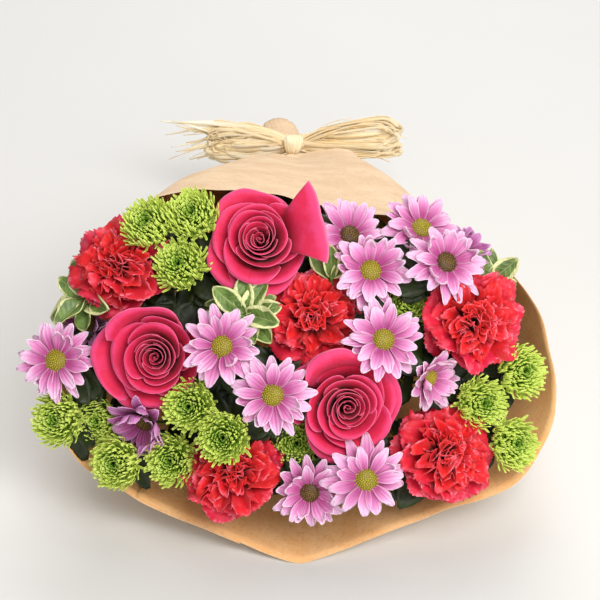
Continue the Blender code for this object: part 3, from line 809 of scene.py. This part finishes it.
def raffia_wrap():
    """Turns of raffia round the neck, each one slightly askew."""
    rng = random.Random(21)
    middle = box_middle("raffia_wrap")
    form = new_form("strand")
    for number in range(WRAP_TURNS):
        shift = (number / (WRAP_TURNS - 1) - 0.5) * WRAP_LENGTH
        radius = WRAP_RADIUS + rng.uniform(-0.3, 1) * MM
        skew = rng.uniform(-1.4, 1.4) * MM
        start = rng.uniform(0, 360)
        route = []
        for step in range(WRAP_STEPS + 1):
            share = step / WRAP_STEPS
            turn = start + 360 * share
            wander = skew * sin(radians(turn - start)) + shift
            route.append(ring_point(middle, radius + 0.5 * MM * share, turn) + neck_axis() * wander)
        raffia_ribbon(form, rng, route, rng.uniform(1.8, 3) * MM, neck_axis(), 0, 0.12, 72)
    mesh = mesh_of(form, "raffia_wrap_turns")
    add_piece("raffia_wrap_turns", mesh, ("raffia",), ("raffia_wrap",), STRAND_WALL)


def raffia_knot():
    """Strands drawn over the middle of the bow and pinched in below it."""
    rng = random.Random(22)
    middle = box_middle("raffia_knot")
    form = new_form("strand")
    core = bmesh.ops.create_uvsphere(form, u_segments=28, v_segments=20, radius=1)
    layer = form.verts.layers.float_vector["strand"]
    for vert in core["verts"]:
        angle = atan2(vert.co.y, vert.co.x)
        ridges = 1 + 0.05 * sin(11 * angle + 3 * vert.co.z)
        vert[layer] = (sin(5 * angle), vert.co.z, 0.3)
        pinch = 0.68 + 0.32 * vert.co.z
        square = ((1 - abs(vert.co.z) ** 5) ** 0.2) / max(0.2, sqrt(max(0, 1 - vert.co.z ** 2)))
        vert.co.x *= ridges * pinch * square
        vert.co = middle + vert.co * KNOT_CORE
    for number in range(KNOT_RIBBONS):
        shift = (number / (KNOT_RIBBONS - 1) - 0.5) * 2
        size = sqrt(1 - 0.18 * shift * shift)
        route = []
        for step in range(KNOT_STEPS + 1):
            angle = 2 * pi * step / KNOT_STEPS + 0.4
            pinch = 0.66 + 0.34 * sin(angle)
            low = 0.9 * max(0, -sin(angle))
            place = Vector((shift * 6.4 * pinch, cos(angle) * 7.8 * size,
                            sin(angle) * (7.7 + low) * size))
            route.append(middle + place * MM)
        raffia_ribbon(form, rng, route, rng.uniform(2.2, 3.4) * MM, ACROSS, 0, 0.15, 48)
    mesh = mesh_of(form, "raffia_knot_strands")
    add_piece("raffia_knot_strands", mesh, ("raffia",), ("raffia_knot",), STRAND_WALL)


def loop_route(rng, start, side, reach, group):
    """One loop of the bow, out over the top and back below, tilted up or down by a few degrees."""
    _, least, lift, drop, fan, _ = group
    far = reach * (1 - (1 - least) * rng.random() ** 1.6)
    over = rng.uniform(*lift)
    under = rng.uniform(*drop)
    back = rng.uniform(-3, 3)
    tip = 0.5 * (over - under) * rng.uniform(0.4, 1)
    tilt = tan(radians(rng.uniform(*fan)))
    table = ((0, 3, 0), (0.22, 4, 0.5 * over), (0.55, 5, 0.9 * over), (0.83, 5, over),
             (0.96, 6, 0.5 * over + 0.5 * tip), (1, 7, tip), (0.88, 8, -0.8 * under),
             (0.55, 8, -under), (0.25, 7, -0.85 * under), (0, 5, -0.5 * under))
    points = []
    for share, behind, above in table:
        wander = Vector((rng.uniform(-2.2, 2.2), rng.uniform(-2.2, 2.2), rng.uniform(-1, 1)))
        place = Vector((side * far * share, behind + back * sin(pi * share),
                        above + tilt * far * share))
        points.append(start + (place + wander * min(1, 2 * share)) * MM)
    return points


def loose_end(rng, start, side, reach, rise, bend):
    """A cut end of raffia that leaves the bow and tapers off."""
    points = []
    for share in (0, 0.2, 0.45, 0.7, 0.88, 1):
        above = rise * share + bend * sin(pi * share)
        behind = 4 + 3 * share + rng.uniform(-1, 1)
        points.append(start + Vector((side * reach * share, behind, above)) * MM)
    return points


def raffia_bow(name, node, side, reach, groups, ends, seed):
    """One side of the bow: many loops that spread from the knot, and a few loose ends."""
    rng = random.Random(seed)
    start = box_middle("raffia_knot") + Vector((side * 5, -2, 2)) * MM
    form = new_form("strand")
    for group in groups:
        for _ in range(group[0]):
            root = start + Vector((0, rng.uniform(-3, 3), rng.uniform(-3.5, 3.5))) * MM
            route = loop_route(rng, root, side, reach, group)
            raffia_ribbon(form, rng, route, rng.uniform(*group[5]) * MM, BOW_SIDE_WAY, 0, 1.6, 56)
    for far, rise, bend, width in ends:
        root = start + Vector((0, rng.uniform(-2, 2), rng.uniform(-3, 3))) * MM
        route = loose_end(rng, root, side, far, rise, bend)
        raffia_ribbon(form, rng, route, width * MM, BOW_SIDE_WAY, 0.75, 2, 36)
    mesh = mesh_of(form, name)
    add_piece(name, mesh, ("raffia",), (node,), STRAND_WALL)


# Loops of the bow in groups: how many, the least share of the full reach, how high they go and how
# low they come back (mm), how far they tilt (degrees) and how wide they are (mm).
LEFT_LOOPS = ((20, 0.78, (9, 13), (-3, 2), (-4, 2), (2.4, 6.4)),
              (22, 0.72, (-3, 2), (8, 13), (-8, -1), (2.4, 6.8)),
              (8, 0.45, (2, 6), (3, 8), (-10, 6), (2.2, 5)))
RIGHT_LOOPS = ((16, 0.92, (15.5, 18), (-3, 0.5), (-0.5, 0.5), (2.2, 4.2)),
               (28, 0.72, (-5, -1.5), (9, 14), (-2, 0), (2.4, 6.4)))
# Loose ends of the bow: reach, rise at the tip, bend on the way and width, all in mm.
LEFT_ENDS = ((98, 18, 4, 3.4), (88, 20, -3, 4.2), (90, -5, 8, 4.2), (92, -17, 9, 6.4), (84, -12, 4, 3.8),
             (76, -20, 3, 4.6), (86, 12, -2, 3.4), (80, 2, 4, 5.2), (74, -8, 8, 5.6), (76, 10, 5, 5.4),
             (86, -9, 3, 3.2), (76, -15, 8, 4.4), (82, 15, 5, 5), (72, 4, 8, 5.6), (78, -3, 7, 5.2),
             (94, 4, 9, 3.6), (70, -18, 4, 5.4))
RIGHT_ENDS = ((78, -8, 9, 3), (74, -14, 2, 4), (40, 20, 6, 1), (82, 4, 12, 2), (70, -16, 5, 3.4))


def tie():
    """The raffia wrap, its knot and the two sides of the bow."""
    raffia_wrap()
    raffia_knot()
    raffia_bow("raffia_bow_left_strands", "raffia_bow_left", -1, LEFT_REACH, LEFT_LOOPS, LEFT_ENDS, 23)
    raffia_bow("raffia_bow_right_strands", "raffia_bow_right", 1, RIGHT_REACH, RIGHT_LOOPS, RIGHT_ENDS, 24)


# ---------------------------------------------------------------- roses

# Whorls of a rose from the bud out: petals, reach of the first and the last, height of the rim of
# the first and the last (mm), half width, lean of the rim from upright, roll past that (degrees)
# and radius of the roll (mm).
ROSE_WHORLS = (
    (4, 1, 3.9, 5.4, 7.4, 122, 4, 20, 0.4),
    (4, 5.6, 8.4, 9, 10.4, 104, 10, 35, 0.6),
    (4, 9.6, 12.4, 11.2, 11.4, 98, 20, 40, 0.9),
    (4, 15, 18.4, 10.6, 8.6, 86, 34, 55, 1.9),
    (5, 21.8, 26.2, 5.8, 1, 70, 50, 60, 3.4),
)
# Guard petals that stand away from a rose: direction (degrees), reach and rim height (mm), half
# width, lean, roll (degrees), radius of the roll (mm) and how round its corners are.
ROSE_GUARDS = (
    ((15, 26, 11, 36, 56, 16, 34, -0.41), (205, 28, 0, 56, 55, 60, 5, 0.34),
     (275, 28, -1, 56, 55, 50, 5, 0.34), (110, 28, 3, 52, 50, 60, 5, 0.3)),
    ((188, 34, 1, 50, 60, 35, 6, 0.3), (112, 28, 9, 52, 24, 100, 4, 0.2),
     (238, 31, -3, 48, 60, 40, 5, 0.34), (330, 27, -1, 56, 55, 50, 5, 0.34)),
    ((95, 29, 10, 50, 28, 95, 4, 0.2), (255, 29, -2, 58, 60, 40, 5, 0.34),
     (150, 32, -3, 46, 60, 40, 5, 0.34), (0, 28, 0, 58, 55, 50, 5, 0.34)),
)
# Radius and height (mm) of the calyx under a rose, from the top down.
ROSE_CALYX = ((0, -17.5), (4.5, -18), (5.4, -20), (4.2, -23.5), (2.8, -25.8), (0, -26))
# For each rose: extra turn right and up, spin (degrees), and shift across and up (mm).
ROSES = ((2, -7, 40, 1.5, -2.5), (12, -11, 200, 5, -4.5), (2, -4, 310, 0, -1.5))
# The leaves under a rose: how many, the heights they leave the stem at and their lengths (mm).
ROSE_LEAVES = (9, (-27, -15), (30, 40))
ROSE_WALL = 0.35 * MM
ROSE_BASE = -20
ROLL_STARTS = 0.78


def rose_profile(reach, top, share, lean, roll, roll_radius):
    """Radius and height in mm on a petal's middle line, from its base (0) to its rolled rim (1)."""
    start = radians(lean)
    if share <= ROLL_STARTS:
        f = share / ROLL_STARTS
        length = top - ROSE_BASE
        pull = 0.42 * length
        points = ((1.2 + 0.08 * reach, ROSE_BASE), (0.62 * reach, ROSE_BASE + 0.22 * length),
                  (reach - pull * sin(start), top - pull * cos(start)), (reach, top))
        weights = ((1 - f) ** 3, 3 * f * (1 - f) ** 2, 3 * f ** 2 * (1 - f), f ** 3)
        return tuple(sum(w * p[k] for w, p in zip(weights, points)) for k in (0, 1))
    end = start + radians(roll) * (share - ROLL_STARTS) / (1 - ROLL_STARTS)
    return (reach + roll_radius * (cos(start) - cos(end)),
            top + roll_radius * (sin(end) - sin(start)))


def rose_petal(turn, reach, top, half_width, lean, roll, roll_radius, corner, swirl, phase):
    """A cupped petal: one side tucks in, the rim rolls out and its corners are lowered.

    With a corner below zero the rim runs straight between two raised corners.
    """
    middle = radians(turn)
    half = radians(half_width)
    straight = corner < 0
    foot = 0.85 if straight else 0.42
    power = 2 if straight else 3.4

    def shape(across, along):
        share = along * (1 - corner * abs(across) ** power)
        tilt = 1 + 0.45 * sin(2.2 * across + phase)
        radius, height = rose_profile(reach, top, share, lean, roll * tilt, roll_radius)
        opening = foot + (1 - foot) * sin(min(1, 1.4 * along) * pi / 2)
        angle = middle + across * half * opening
        radius += swirl * across * along + 0.4 * sin(4 * across + phase) * along ** 4
        ripple = 0.45 * sin(3.4 * across + 2 * phase) + 0.22 * sin(8 * across + phase)
        fold = 1.2 * max(0, 1 - 3.2 * abs(across + 0.15 * sin(phase))) * along ** 6
        height += ripple * (0.4 + 0.05 * reach) * along ** 3 + 0.4 * fold
        radius += 0.03 * reach * fold
        return Vector((radius * cos(angle), radius * sin(angle), height)) * MM

    return shape


def rose_mesh(name, seed, guards, arc):
    """A whole rose: bud, cup, open petals, guard petals, a small green calyx and its leaves."""
    rng = random.Random(seed)
    form = new_form("petal")
    number = 0
    for petals, first, last, first_top, last_top, half, lean, roll, roll_radius in ROSE_WHORLS:
        for index in range(petals):
            share = index / (petals - 1)
            reach = first + (last - first) * share + rng.uniform(-0.3, 0.3)
            top = first_top + (last_top - first_top) * share + rng.uniform(-0.7, 0.7)
            turn = number * 144 + rng.uniform(-12, 12) + 17 * (number // 5)
            shape = rose_petal(turn, reach, top, half * rng.uniform(0.9, 1.1), lean + rng.uniform(-4, 4),
                               roll * rng.uniform(0.7, 1.2), roll_radius, 0.34,
                               0.6 + 0.09 * reach, any_phase(rng))
            grid = INNER_ROSE_GRID if reach < 14 else OUTER_ROSE_GRID
            add_patch(form, "petal", grid, shape, 0.026 * reach + 0.2 * rng.random())
            number += 1
    for turn, reach, top, half, lean, roll, roll_radius, corner in guards:
        shape = rose_petal(turn, reach, top, half, lean, roll, roll_radius, corner, 1.5, any_phase(rng))
        add_patch(form, "petal", GUARD_PETAL_GRID, shape, 0.8 + 0.2 * rng.random())
    add_turned(form, ROSE_CALYX, 14, 2)
    add_under_leaves(form, rng, arc, *ROSE_LEAVES, 3)
    return mesh_of(form, name)


def roses():
    """The three roses."""
    for number, (right, up, spin, across, rise) in enumerate(ROSES, 1):
        node = f"rose_bloom_{number}"
        guards = [(guard[0] - spin, *guard[1:]) for guard in ROSE_GUARDS[number - 1]]
        mesh = rose_mesh(f"rose_{number}", 30 + number, guards, leaf_arc(node, spin))
        mesh.transform(head_place(node, ROSE_AHEAD, right, up, spin))
        mesh.transform(Matrix.Translation((ACROSS * across + UP * rise) * MM))
        add_piece(f"rose_{number}", mesh, ("rose_front", "rose_back", "stem", "leaf_dark"),
                  (node,), ROSE_WALL, 1)


# ---------------------------------------------------------------- carnations

# Whorls of a carnation from the outside in: petals, lean from the axis (degrees), half width at
# the edge (mm), length against the dome, ruffles across one petal and their depth (mm).
CARNATION_WHORLS = (
    (7, 96, 16.5, 1.02, 0.8, 3),
    (8, 78, 15.5, 1.03, 1, 4),
    (9, 58, 13, 1.02, 1.4, 4.8),
    (10, 38, 10.5, 1, 2.1, 4.6),
    (9, 20, 8.5, 0.96, 2.6, 4),
    (5, 7, 7, 0.92, 2.2, 3.6),
)
# Radius and height (mm) of the calyx under a carnation, from the top down.
CARNATION_CALYX = ((0, -11), (5, -11.5), (6.3, -15), (6.3, -26), (3.5, -31.5), (0, -32))
# For each carnation: extra turn right and up, and spin (degrees).
CARNATIONS = ((0, 0, 0), (0, 0, 70), (-8, 0, 150), (0, 34, 230), (0, 24, 300))
CARNATION_LEAVES = (8, (-26, -14), (30, 40))
CARNATION_WALL = 0.3 * MM
CARNATION_RADIUS = 32
CARNATION_TOP = 16
CARNATION_FOOT = -13


def ruffled_petal(turn, lean, width, length, waves, depth, phase):
    """A fan of a petal: a narrow claw that opens into deep ruffles with a toothed edge."""
    tilt = radians(lean)
    radial, side = petal_sides(turn)
    axis = HEAD_AXIS
    reach = CARNATION_RADIUS * sin(min(tilt, 1.7)) * length
    height = CARNATION_FOOT + (CARNATION_TOP - CARNATION_FOOT) * length * max(0.30, cos(tilt * 0.78))
    foot = radial * 2 + axis * CARNATION_FOOT
    tip = radial * reach + axis * height
    elbow = radial * (3 + 0.30 * reach) + axis * (CARNATION_FOOT + 0.78 * (height - CARNATION_FOOT))
    normal = (axis * sin(tilt) - radial * cos(tilt)).normalized()

    def shape(across, along):
        column = round((across + 1) / 2 * CARNATION_GRID[0])
        tooth = 0.020 if column % 2 else -0.016
        tooth *= 0.4 + 0.8 * sin(2.6 * across + 3 * phase) ** 2
        lobes = 0.05 * sin(4.2 * across + 2 * phase)
        share = along * (1 - 0.14 * across * across) + (tooth + lobes) * along ** 8
        point = foot * (1 - share) ** 2 + elbow * 2 * share * (1 - share) + tip * share ** 2
        half = width * (0.12 + 0.88 * along ** 1.3)
        ruffle = depth * sin(waves * across * pi + phase) * along ** 2.2
        ruffle += 0.3 * depth * sin(2.3 * waves * across * pi + 2 * phase) * along ** 4
        sway = 0.7 * depth * cos(waves * across * pi + phase) * along ** 3
        return (point + side * (across * half + 0.4 * sway) + normal * ruffle
                - radial * 0.02 * (across * half) ** 2) * MM

    return shape


def carnation_mesh(name, seed, arc):
    """A whole carnation: a dome of ruffled petals over a long green calyx."""
    rng = random.Random(seed)
    form = new_form("petal")
    for whorl, (petals, lean, width, length, waves, depth) in enumerate(CARNATION_WHORLS):
        for index in range(petals):
            turn = 360 * (index + 0.4 * whorl) / petals + rng.uniform(-16, 16)
            shape = ruffled_petal(turn, lean + rng.uniform(-11, 11), width * rng.uniform(0.8, 1.2),
                                  length * rng.uniform(0.84, 1.06), waves * rng.uniform(0.7, 1.35),
                                  depth * rng.uniform(0.6, 1.3), any_phase(rng))
            add_patch(form, "petal", CARNATION_GRID, shape, 0.007 * lean + 0.3 * rng.random())
    add_turned(form, CARNATION_CALYX, 14, 1)
    add_under_leaves(form, rng, arc, *CARNATION_LEAVES, 2)
    return mesh_of(form, name)


def carnations():
    """The five carnations."""
    for number, (right, up, spin) in enumerate(CARNATIONS, 1):
        node = f"carnation_bloom_{number}"
        mesh = carnation_mesh(f"carnation_{number}", 40 + number, leaf_arc(node, spin))
        mesh.transform(head_place(node, CARNATION_AHEAD, right, up, spin))
        add_piece(f"carnation_{number}", mesh, ("carnation", "stem", "leaf_dark"),
                  (node,), CARNATION_WALL)


# ---------------------------------------------------------------- daisies

DAISY_PETALS = (14, 11)
DAISY_LEAVES = (6, (-26, -17), (24, 34))
DAISY_WALL = 0.3 * MM
DAISY_SPIN = 37
DAISY_DISC = 7.2
DISC_FLORETS = 96
# Radius and height (mm) of the cushion in a daisy and of the green cup under it.
DAISY_CUSHION = ((0, 3), (3.4, 2.7), (6.2, 1.5), (7, -0.6), (0, -0.8))
DAISY_CUP = ((0, -1.2), (6.8, -1.4), (6.2, -3.4), (3, -6.2), (1.4, -7), (0, -7))
# For each daisy: extra turn right and up (degrees), size, how far its petals rise (degrees),
# which finish its petals have (deep is the darker copy that paints shade on daisies in shadow) and which
# its disc has.
DAISIES = (
    (6, 0, 1, 8, "front", "disc_dark"), (0, 0, 1, 10, "front", "disc"),
    (0, 6, 1, 6, "front", "disc"), (0, 0, 1, 4, "front", "disc_dark"),
    (14, 6, 0.7, 30, "deep", "disc_dark"), (0, 0, 1, 6, "front", "disc"),
    (6, 0, 1, 12, "front", "disc"), (0, 0, 1, 4, "front", "disc"), (16, 0, 1, 0, "front", "disc"),
    (0, 0, 1, -10, "front", "disc"), (-6, -6, 0.95, 12, "front", "disc_dark"),
    (26, -24, 0.85, 26, "front", "disc"), (-6, -34, 0.95, 34, "deep", "disc_dark"),
    (-10, 8, 0.98, 26, "deep", "disc_dark"),
)


def daisy_petal(turn, start, length, width, rise, droop, lift, curl, roll, phase):
    """A blunt, channelled petal that leaves the disc, rises and bends over."""
    radial, side = petal_sides(turn)
    slope = radians(rise)

    def shape(across, along):
        share = along * (1 - 0.20 * abs(across) ** 2.2)
        half = width * (0.38 + 0.62 * sin(min(1, along / 0.66) * pi / 2))
        half *= 1 - 0.30 * smooth_step(along, 0.72, 1)
        out = start + length * share * cos(slope) - 0.6 * curl * smooth_step(along, 0.6, 1)
        height = lift + length * share * sin(slope) - droop * share ** 2.4 + curl * share ** 4
        channel = (roll * across * across - 0.35 * cos(across * 2.6 * pi)) * (0.5 + 0.7 * along)
        wobble = 0.8 * sin(2 * along + phase) * along
        tip = across * half * 0.35 * sin(phase) * along
        sideways = across * half * (1 - 0.12 * abs(sin(phase))) + wobble
        return (radial * out + side * sideways + Vector((0, 0, height + channel * 0.9 + tip))) * MM

    return shape


def add_disc(form, rng, slot):
    """A low dome of small florets, the outer ones taller, on a solid cushion."""
    add_turned(form, DAISY_CUSHION, 16, slot)
    layer = form.verts.layers.float_vector["petal"]
    for number in range(DISC_FLORETS):
        radius = DAISY_DISC * sqrt((number + 0.5) / DISC_FLORETS)
        angle = number * GOLDEN_TURN
        lean = radius / DAISY_DISC
        place = Matrix.Translation(Vector((radius * cos(angle), radius * sin(angle),
                                           3.1 - 2.6 * lean ** 2)) * MM)
        tilt = Matrix.Rotation(0.75 * lean, 4, Vector((-sin(angle), cos(angle), 0)))
        tall = (0.7 + 0.9 * lean ** 4) * MM
        made = bmesh.ops.create_cone(form, segments=5, radius1=0.72 * MM, radius2=0.42 * MM, depth=tall,
                                     cap_ends=True, cap_tris=False, matrix=place @ tilt)
        tone = rng.random()
        for vert in made["verts"]:
            vert[layer] = (0.6, 0.45 + 0.5 * (1 - lean) + 0.2 * tone, tone)
        use_slot(made["verts"], slot)


def daisy_mesh(name, seed, rise, arc):
    """A whole daisy: two rows of petals, the disc, the green cup and a few leaves under it."""
    rng = random.Random(seed)
    form = new_form("petal")
    for row, count in enumerate(DAISY_PETALS):
        for index in range(count):
            turn = 360 * (index + 0.5 * row) / count + rng.uniform(-8, 8)
            curl = rng.uniform(4, 9) if rng.random() < 0.12 + 0.16 * row else rng.uniform(-1, 1.5)
            length = rng.uniform(17.5, 21.5) - 2.2 * row
            shape = daisy_petal(turn, 6 - 0.8 * row, length, rng.uniform(3.8, 4.9),
                                rise + rng.uniform(-9, 11) + 10 * row, rng.uniform(0.6, 4),
                                -0.8 + 1.4 * row, curl, rng.uniform(0.3, 1.6), any_phase(rng))
            add_patch(form, "petal", DAISY_GRID, shape, rng.random())
    add_disc(form, rng, 2)
    add_turned(form, DAISY_CUP, 12, 3)
    add_under_leaves(form, rng, arc, *DAISY_LEAVES, 4)
    return mesh_of(form, name)


def daisies():
    """The fourteen spray daisies."""
    for number, (right, up, size, rise, petals, disc) in enumerate(DAISIES, 1):
        node = f"daisy_bloom_{number}"
        spin = DAISY_SPIN * number
        mesh = daisy_mesh(f"daisy_{number}", 50 + number, rise, leaf_arc(node, spin))
        mesh.transform(head_place(node, DAISY_AHEAD, right, up, spin, size))
        # Daisies in shadow carry the painted-shade finish on both faces.
        back = "daisy_back" if petals == "front" else "daisy_deep"
        add_piece(f"daisy_{number}", mesh, ("daisy_" + petals, back, disc, "stem", "leaf_dark"),
                  (node,), DAISY_WALL, 1)


# ---------------------------------------------------------------- green button mums

GREEN_MUMS = 14
MUM_FLORETS = 225
MUM_LEAVES = (7, (-24, -14), (22, 30))
MUM_WALL = 0.22 * MM
MUM_SPIN = 53
# Radius and height (mm) of the cup under a green button mum.
MUM_CUP = ((0, -2.4), (2.4, -2.8), (4.4, -3.8), (4.8, -5), (2, -10.5), (0, -13))
# Mums that are smaller, that stand further out (mm) and that turn to the right (degrees).
MUM_SIZES = {5: 0.85, 10: 0.85, 11: 0.85}
MUM_LIFTS = {2: 5, 3: 5, 8: 5}
MUM_TURNS = {4: 6}


def mum_floret(turn, lean, length, width, incurve, phase):
    """A narrow pointed floret; the inner ones stand and the outer ones lie open."""
    tilt = radians(lean)
    radial, side = petal_sides(turn)
    axis = HEAD_AXIS

    def shape(across, along):
        angle = tilt - incurve * along ** 3
        way = radial * sin(angle) + axis * cos(angle)
        upright = axis * sin(angle) - radial * cos(angle)
        half = width * (0.6 + 0.6 * along) * (1 - 0.42 * smooth_step(along, 0.72, 1))
        start = radial * (0.3 + 2.6 * sin(tilt)) + axis * (2 * cos(tilt) - 3)
        spoon = 0.8 * across * across * width
        sway = 0.5 * sin(phase) * along * along
        return (start + way * length * along + side * (across * half + sway) + upright * spoon) * MM

    return shape


def mum_mesh(name, seed, arc):
    """A whole green button mum: a tight ball of florets with a dark dimple in the middle."""
    rng = random.Random(seed)
    form = new_form("petal")
    for number in range(MUM_FLORETS):
        share = (number + 1.5) / MUM_FLORETS
        lean = 13 + 95 * share ** 0.8
        length = (4.8 + 12.4 * share ** 0.5) * rng.uniform(0.9, 1.06)
        incurve = (0.10 + 0.75 * share) * rng.uniform(0.5, 1.3)
        turn = degrees(number * GOLDEN_TURN) + rng.uniform(-3, 3)
        shape = mum_floret(turn, lean + rng.uniform(-3.5, 3.5), length, rng.uniform(0.78, 1.05), incurve,
                           any_phase(rng))
        add_patch(form, "petal", MUM_GRID, shape, share ** 0.5 * 0.8 + 0.2 * rng.random())
    add_turned(form, MUM_CUP, 12, 2)
    add_under_leaves(form, rng, arc, *MUM_LEAVES, 2)
    return mesh_of(form, name)


def green_mums():
    """The fourteen green button mums."""
    for number in range(1, GREEN_MUMS + 1):
        node = f"green_mum_{number}"
        spin = MUM_SPIN * number
        mesh = mum_mesh(f"green_button_mum_{number}", 70 + number, leaf_arc(node, spin))
        ahead = MUM_AHEAD + MUM_LIFTS.get(number, 0) * MM
        mesh.transform(head_place(node, ahead, MUM_TURNS.get(number, 0), 0, spin,
                                  MUM_SIZES.get(number, 1)))
        add_piece(f"green_button_mum_{number}", mesh, ("mum", "stem", "leaf_dark"),
                  (node,), MUM_WALL)


# ---------------------------------------------------------------- leafy sprigs

LEAF_WALL = 0.3 * MM
TWIG_SIDES = 10
TWIG_STEPS = 32
TWIG_RADIUS = 2
TWIG_TAPER = 0.9
# For each sprig: where its tip lies across, up and out of the mouth (cm), then leaves, leaf
# length (cm), first leaf's direction and the arc that the leaves fill (degrees).
SPRIGS = (
    (-3.3, -1.7, 5, 12, 2.4, -95, 285),
    (1.9, 0.6, 4.5, 3, 2, 40, 95),
    (-13.2, -0.4, 1.9, 6, 2.7, 100, 230),
    (11.6, 0.6, 0.8, 4, 2.4, 10, 110),
)


def sprig_twig(form, node, tip, facing):
    """The woody twig from the neck to the leaves, as a thin closed tube."""
    points = [vert.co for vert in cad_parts[node].data.vertices]
    far = max(point.y for point in points)
    tail = [point for point in points if point.y > far - 1 * MM]
    end = sum(tail, Vector()) / len(tail)
    neck = end + (NECK_FRONT - TAIL_END).normalized() * ((end - NECK_FRONT).length)
    bend = neck.lerp(tip, 0.45) + Vector((0, 0, -4 * MM))
    route = smooth_route([end, neck, bend, tip - facing * 3 * CM, tip], TWIG_STEPS + 1)

    def shape(across, along):
        index = round(along * TWIG_STEPS)
        ahead = (route[min(index + 1, TWIG_STEPS)] - route[max(index - 1, 0)]).normalized()
        side = square_side(ahead)
        angle = across * pi
        radius = (TWIG_RADIUS - TWIG_TAPER * along) * MM
        return route[index] + (side * cos(angle) + ahead.cross(side) * sin(angle)) * radius

    verts = add_patch(form, "petal", (TWIG_SIDES, TWIG_STEPS), shape, 0.3, 2)
    bmesh.ops.remove_doubles(form, verts=verts, dist=WELD)
    open_edges = [edge for edge in form.edges if edge.is_boundary and edge.calc_length() < 2 * MM]
    bmesh.ops.holes_fill(form, edges=open_edges, sides=12)


def sprig_leaves(form, rng, tip, facing, leaves, size, first, arc):
    """A fan of leaves round the tip of a twig, every other one lifted more."""
    side = square_side(facing)
    top = facing.cross(side)
    for index in range(leaves):
        angle = radians(first + arc * index / (leaves - 1) + rng.uniform(-8, 8))
        rise = radians(8 + 20 * (index % 2) + rng.uniform(-5, 5))
        way = (side * cos(angle) + top * sin(angle)) * cos(rise) + facing * sin(rise)
        start = tip - facing * (1 + 2 * (index % 3)) * MM
        blade = leaf_blade(start, way.normalized(), facing, size * CM * rng.uniform(0.85, 1.12),
                           rng.uniform(-0.12, 0.34), rng.uniform(0.2, 0.8), any_phase(rng))
        add_patch(form, "petal", SPRIG_LEAF_GRID, blade, rng.random())


def leafy_sprigs():
    """The four sprigs of variegated leaves."""
    for number, (across, up, lift, *leaves) in enumerate(SPRIGS, 1):
        node = f"leaf_sprig_{number}"
        tip = MOUTH_CENTRE + (ACROSS * across + UP * up + OUT * lift) * CM
        facing = facing_at(tip)
        form = new_form("petal")
        sprig_twig(form, node, tip, facing)
        sprig_leaves(form, random.Random(90 + number), tip, facing, *leaves)
        mesh = mesh_of(form, f"variegated_sprig_{number}")
        add_piece(f"variegated_sprig_{number}", mesh, ("leaf_front", "leaf_back", "stem"),
                  (node,), LEAF_WALL, 1)


# ---------------------------------------------------------------- kept stems, setting

FLOOR_HALF_SIZE = 3
WORLD_STRENGTH = 0.31
# Lamps: name, place, what they point at, size (m), power (W) and colour.
LAMPS = (
    ("key", (0.95, -1.1, 1.25), (0, -0.15, 0.06), 0.6, 10.7, (1, 0.985, 0.97)),
    ("top", (0, 0.1, 1.6), (0, -0.15, 0), 0.9, 3, (1, 0.99, 0.98)),
    ("fill", (0.35, -1.15, 1.4), (0, -0.2, 0.02), 0.8, 12.8, (1, 0.99, 0.97)),
    ("front", (0.3, -1.6, 0.55), (0, -0.15, 0.08), 0.8, 5, (1, 0.99, 0.98)),
    ("back", (0.1, 1.3, 1.5), (0, 0.6, 0), 1.2, 20, (1, 0.995, 0.99)),
)
# The camera: its aim against the middle of the mouth and its distance (m), how steeply it looks
# down (degrees), and its lens and sensor (mm).
CAMERA_AIM_SHIFT = Vector((0, 0, -0.3 * CM))
CAMERA_DISTANCE = 1.125
CAMERA_SLOPE = 35
CAMERA_LENS = 108
CAMERA_SENSOR = 36


def finish_stems():
    """The CAD stems and sprays stay, with a ribbed green finish."""
    for name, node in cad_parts.items():
        if "stem" in name or "spray" in name:
            for material_slot in node.material_slots:
                material_slot.material = FINISHES["stem"]


def pale_floor():
    """A wide plain surface under the bouquet."""
    form = bmesh.new()
    bmesh.ops.create_grid(form, x_segments=8, y_segments=8, size=FLOOR_HALF_SIZE)
    mesh = mesh_of(form, "pale_floor")
    floor = new_object("pale_floor", mesh)
    mesh.materials.append(floor_finish())


def aimed_object(name, data, place, aim):
    """A lamp or a camera that stands at one place and points at another."""
    made = new_object(name, data)
    made.location = place
    made.rotation_euler = (Vector(aim) - Vector(place)).to_track_quat("-Z", "Y").to_euler()
    return made


def soft_light(name, place, aim, size, power, colour):
    """A large square lamp that points at a place."""
    data = bpy.data.lights.new(name, "AREA")
    data.size = size
    data.energy = power
    data.color = colour
    aimed_object(name, data, place, aim)


def studio_light():
    """An even pale world and the lamps."""
    world = bpy.data.worlds.new("studio_light")
    world.use_nodes = True
    background = world.node_tree.nodes["Background"].inputs
    background["Color"].default_value = (1, 0.99, 0.98, 1)
    background["Strength"].default_value = WORLD_STRENGTH
    bpy.context.scene.world = world
    for lamp in LAMPS:
        soft_light(*lamp)


def camera_on_mouth():
    """The camera, which looks down into the mouth."""
    scene = bpy.context.scene
    scene.view_settings.view_transform = "Standard"
    aim = MOUTH_CENTRE + CAMERA_AIM_SHIFT
    slope = radians(CAMERA_SLOPE)
    data = bpy.data.cameras.new("camera")
    data.lens = CAMERA_LENS
    data.sensor_width = CAMERA_SENSOR
    place = aim + Vector((0, -cos(slope), sin(slope))) * CAMERA_DISTANCE
    scene.camera = aimed_object("camera", data, place, aim)


pale_floor()
studio_light()
camera_on_mouth()
paper_wrapper()
tie()
roses()
carnations()
daisies()
green_mums()
leafy_sprigs()
finish_stems()
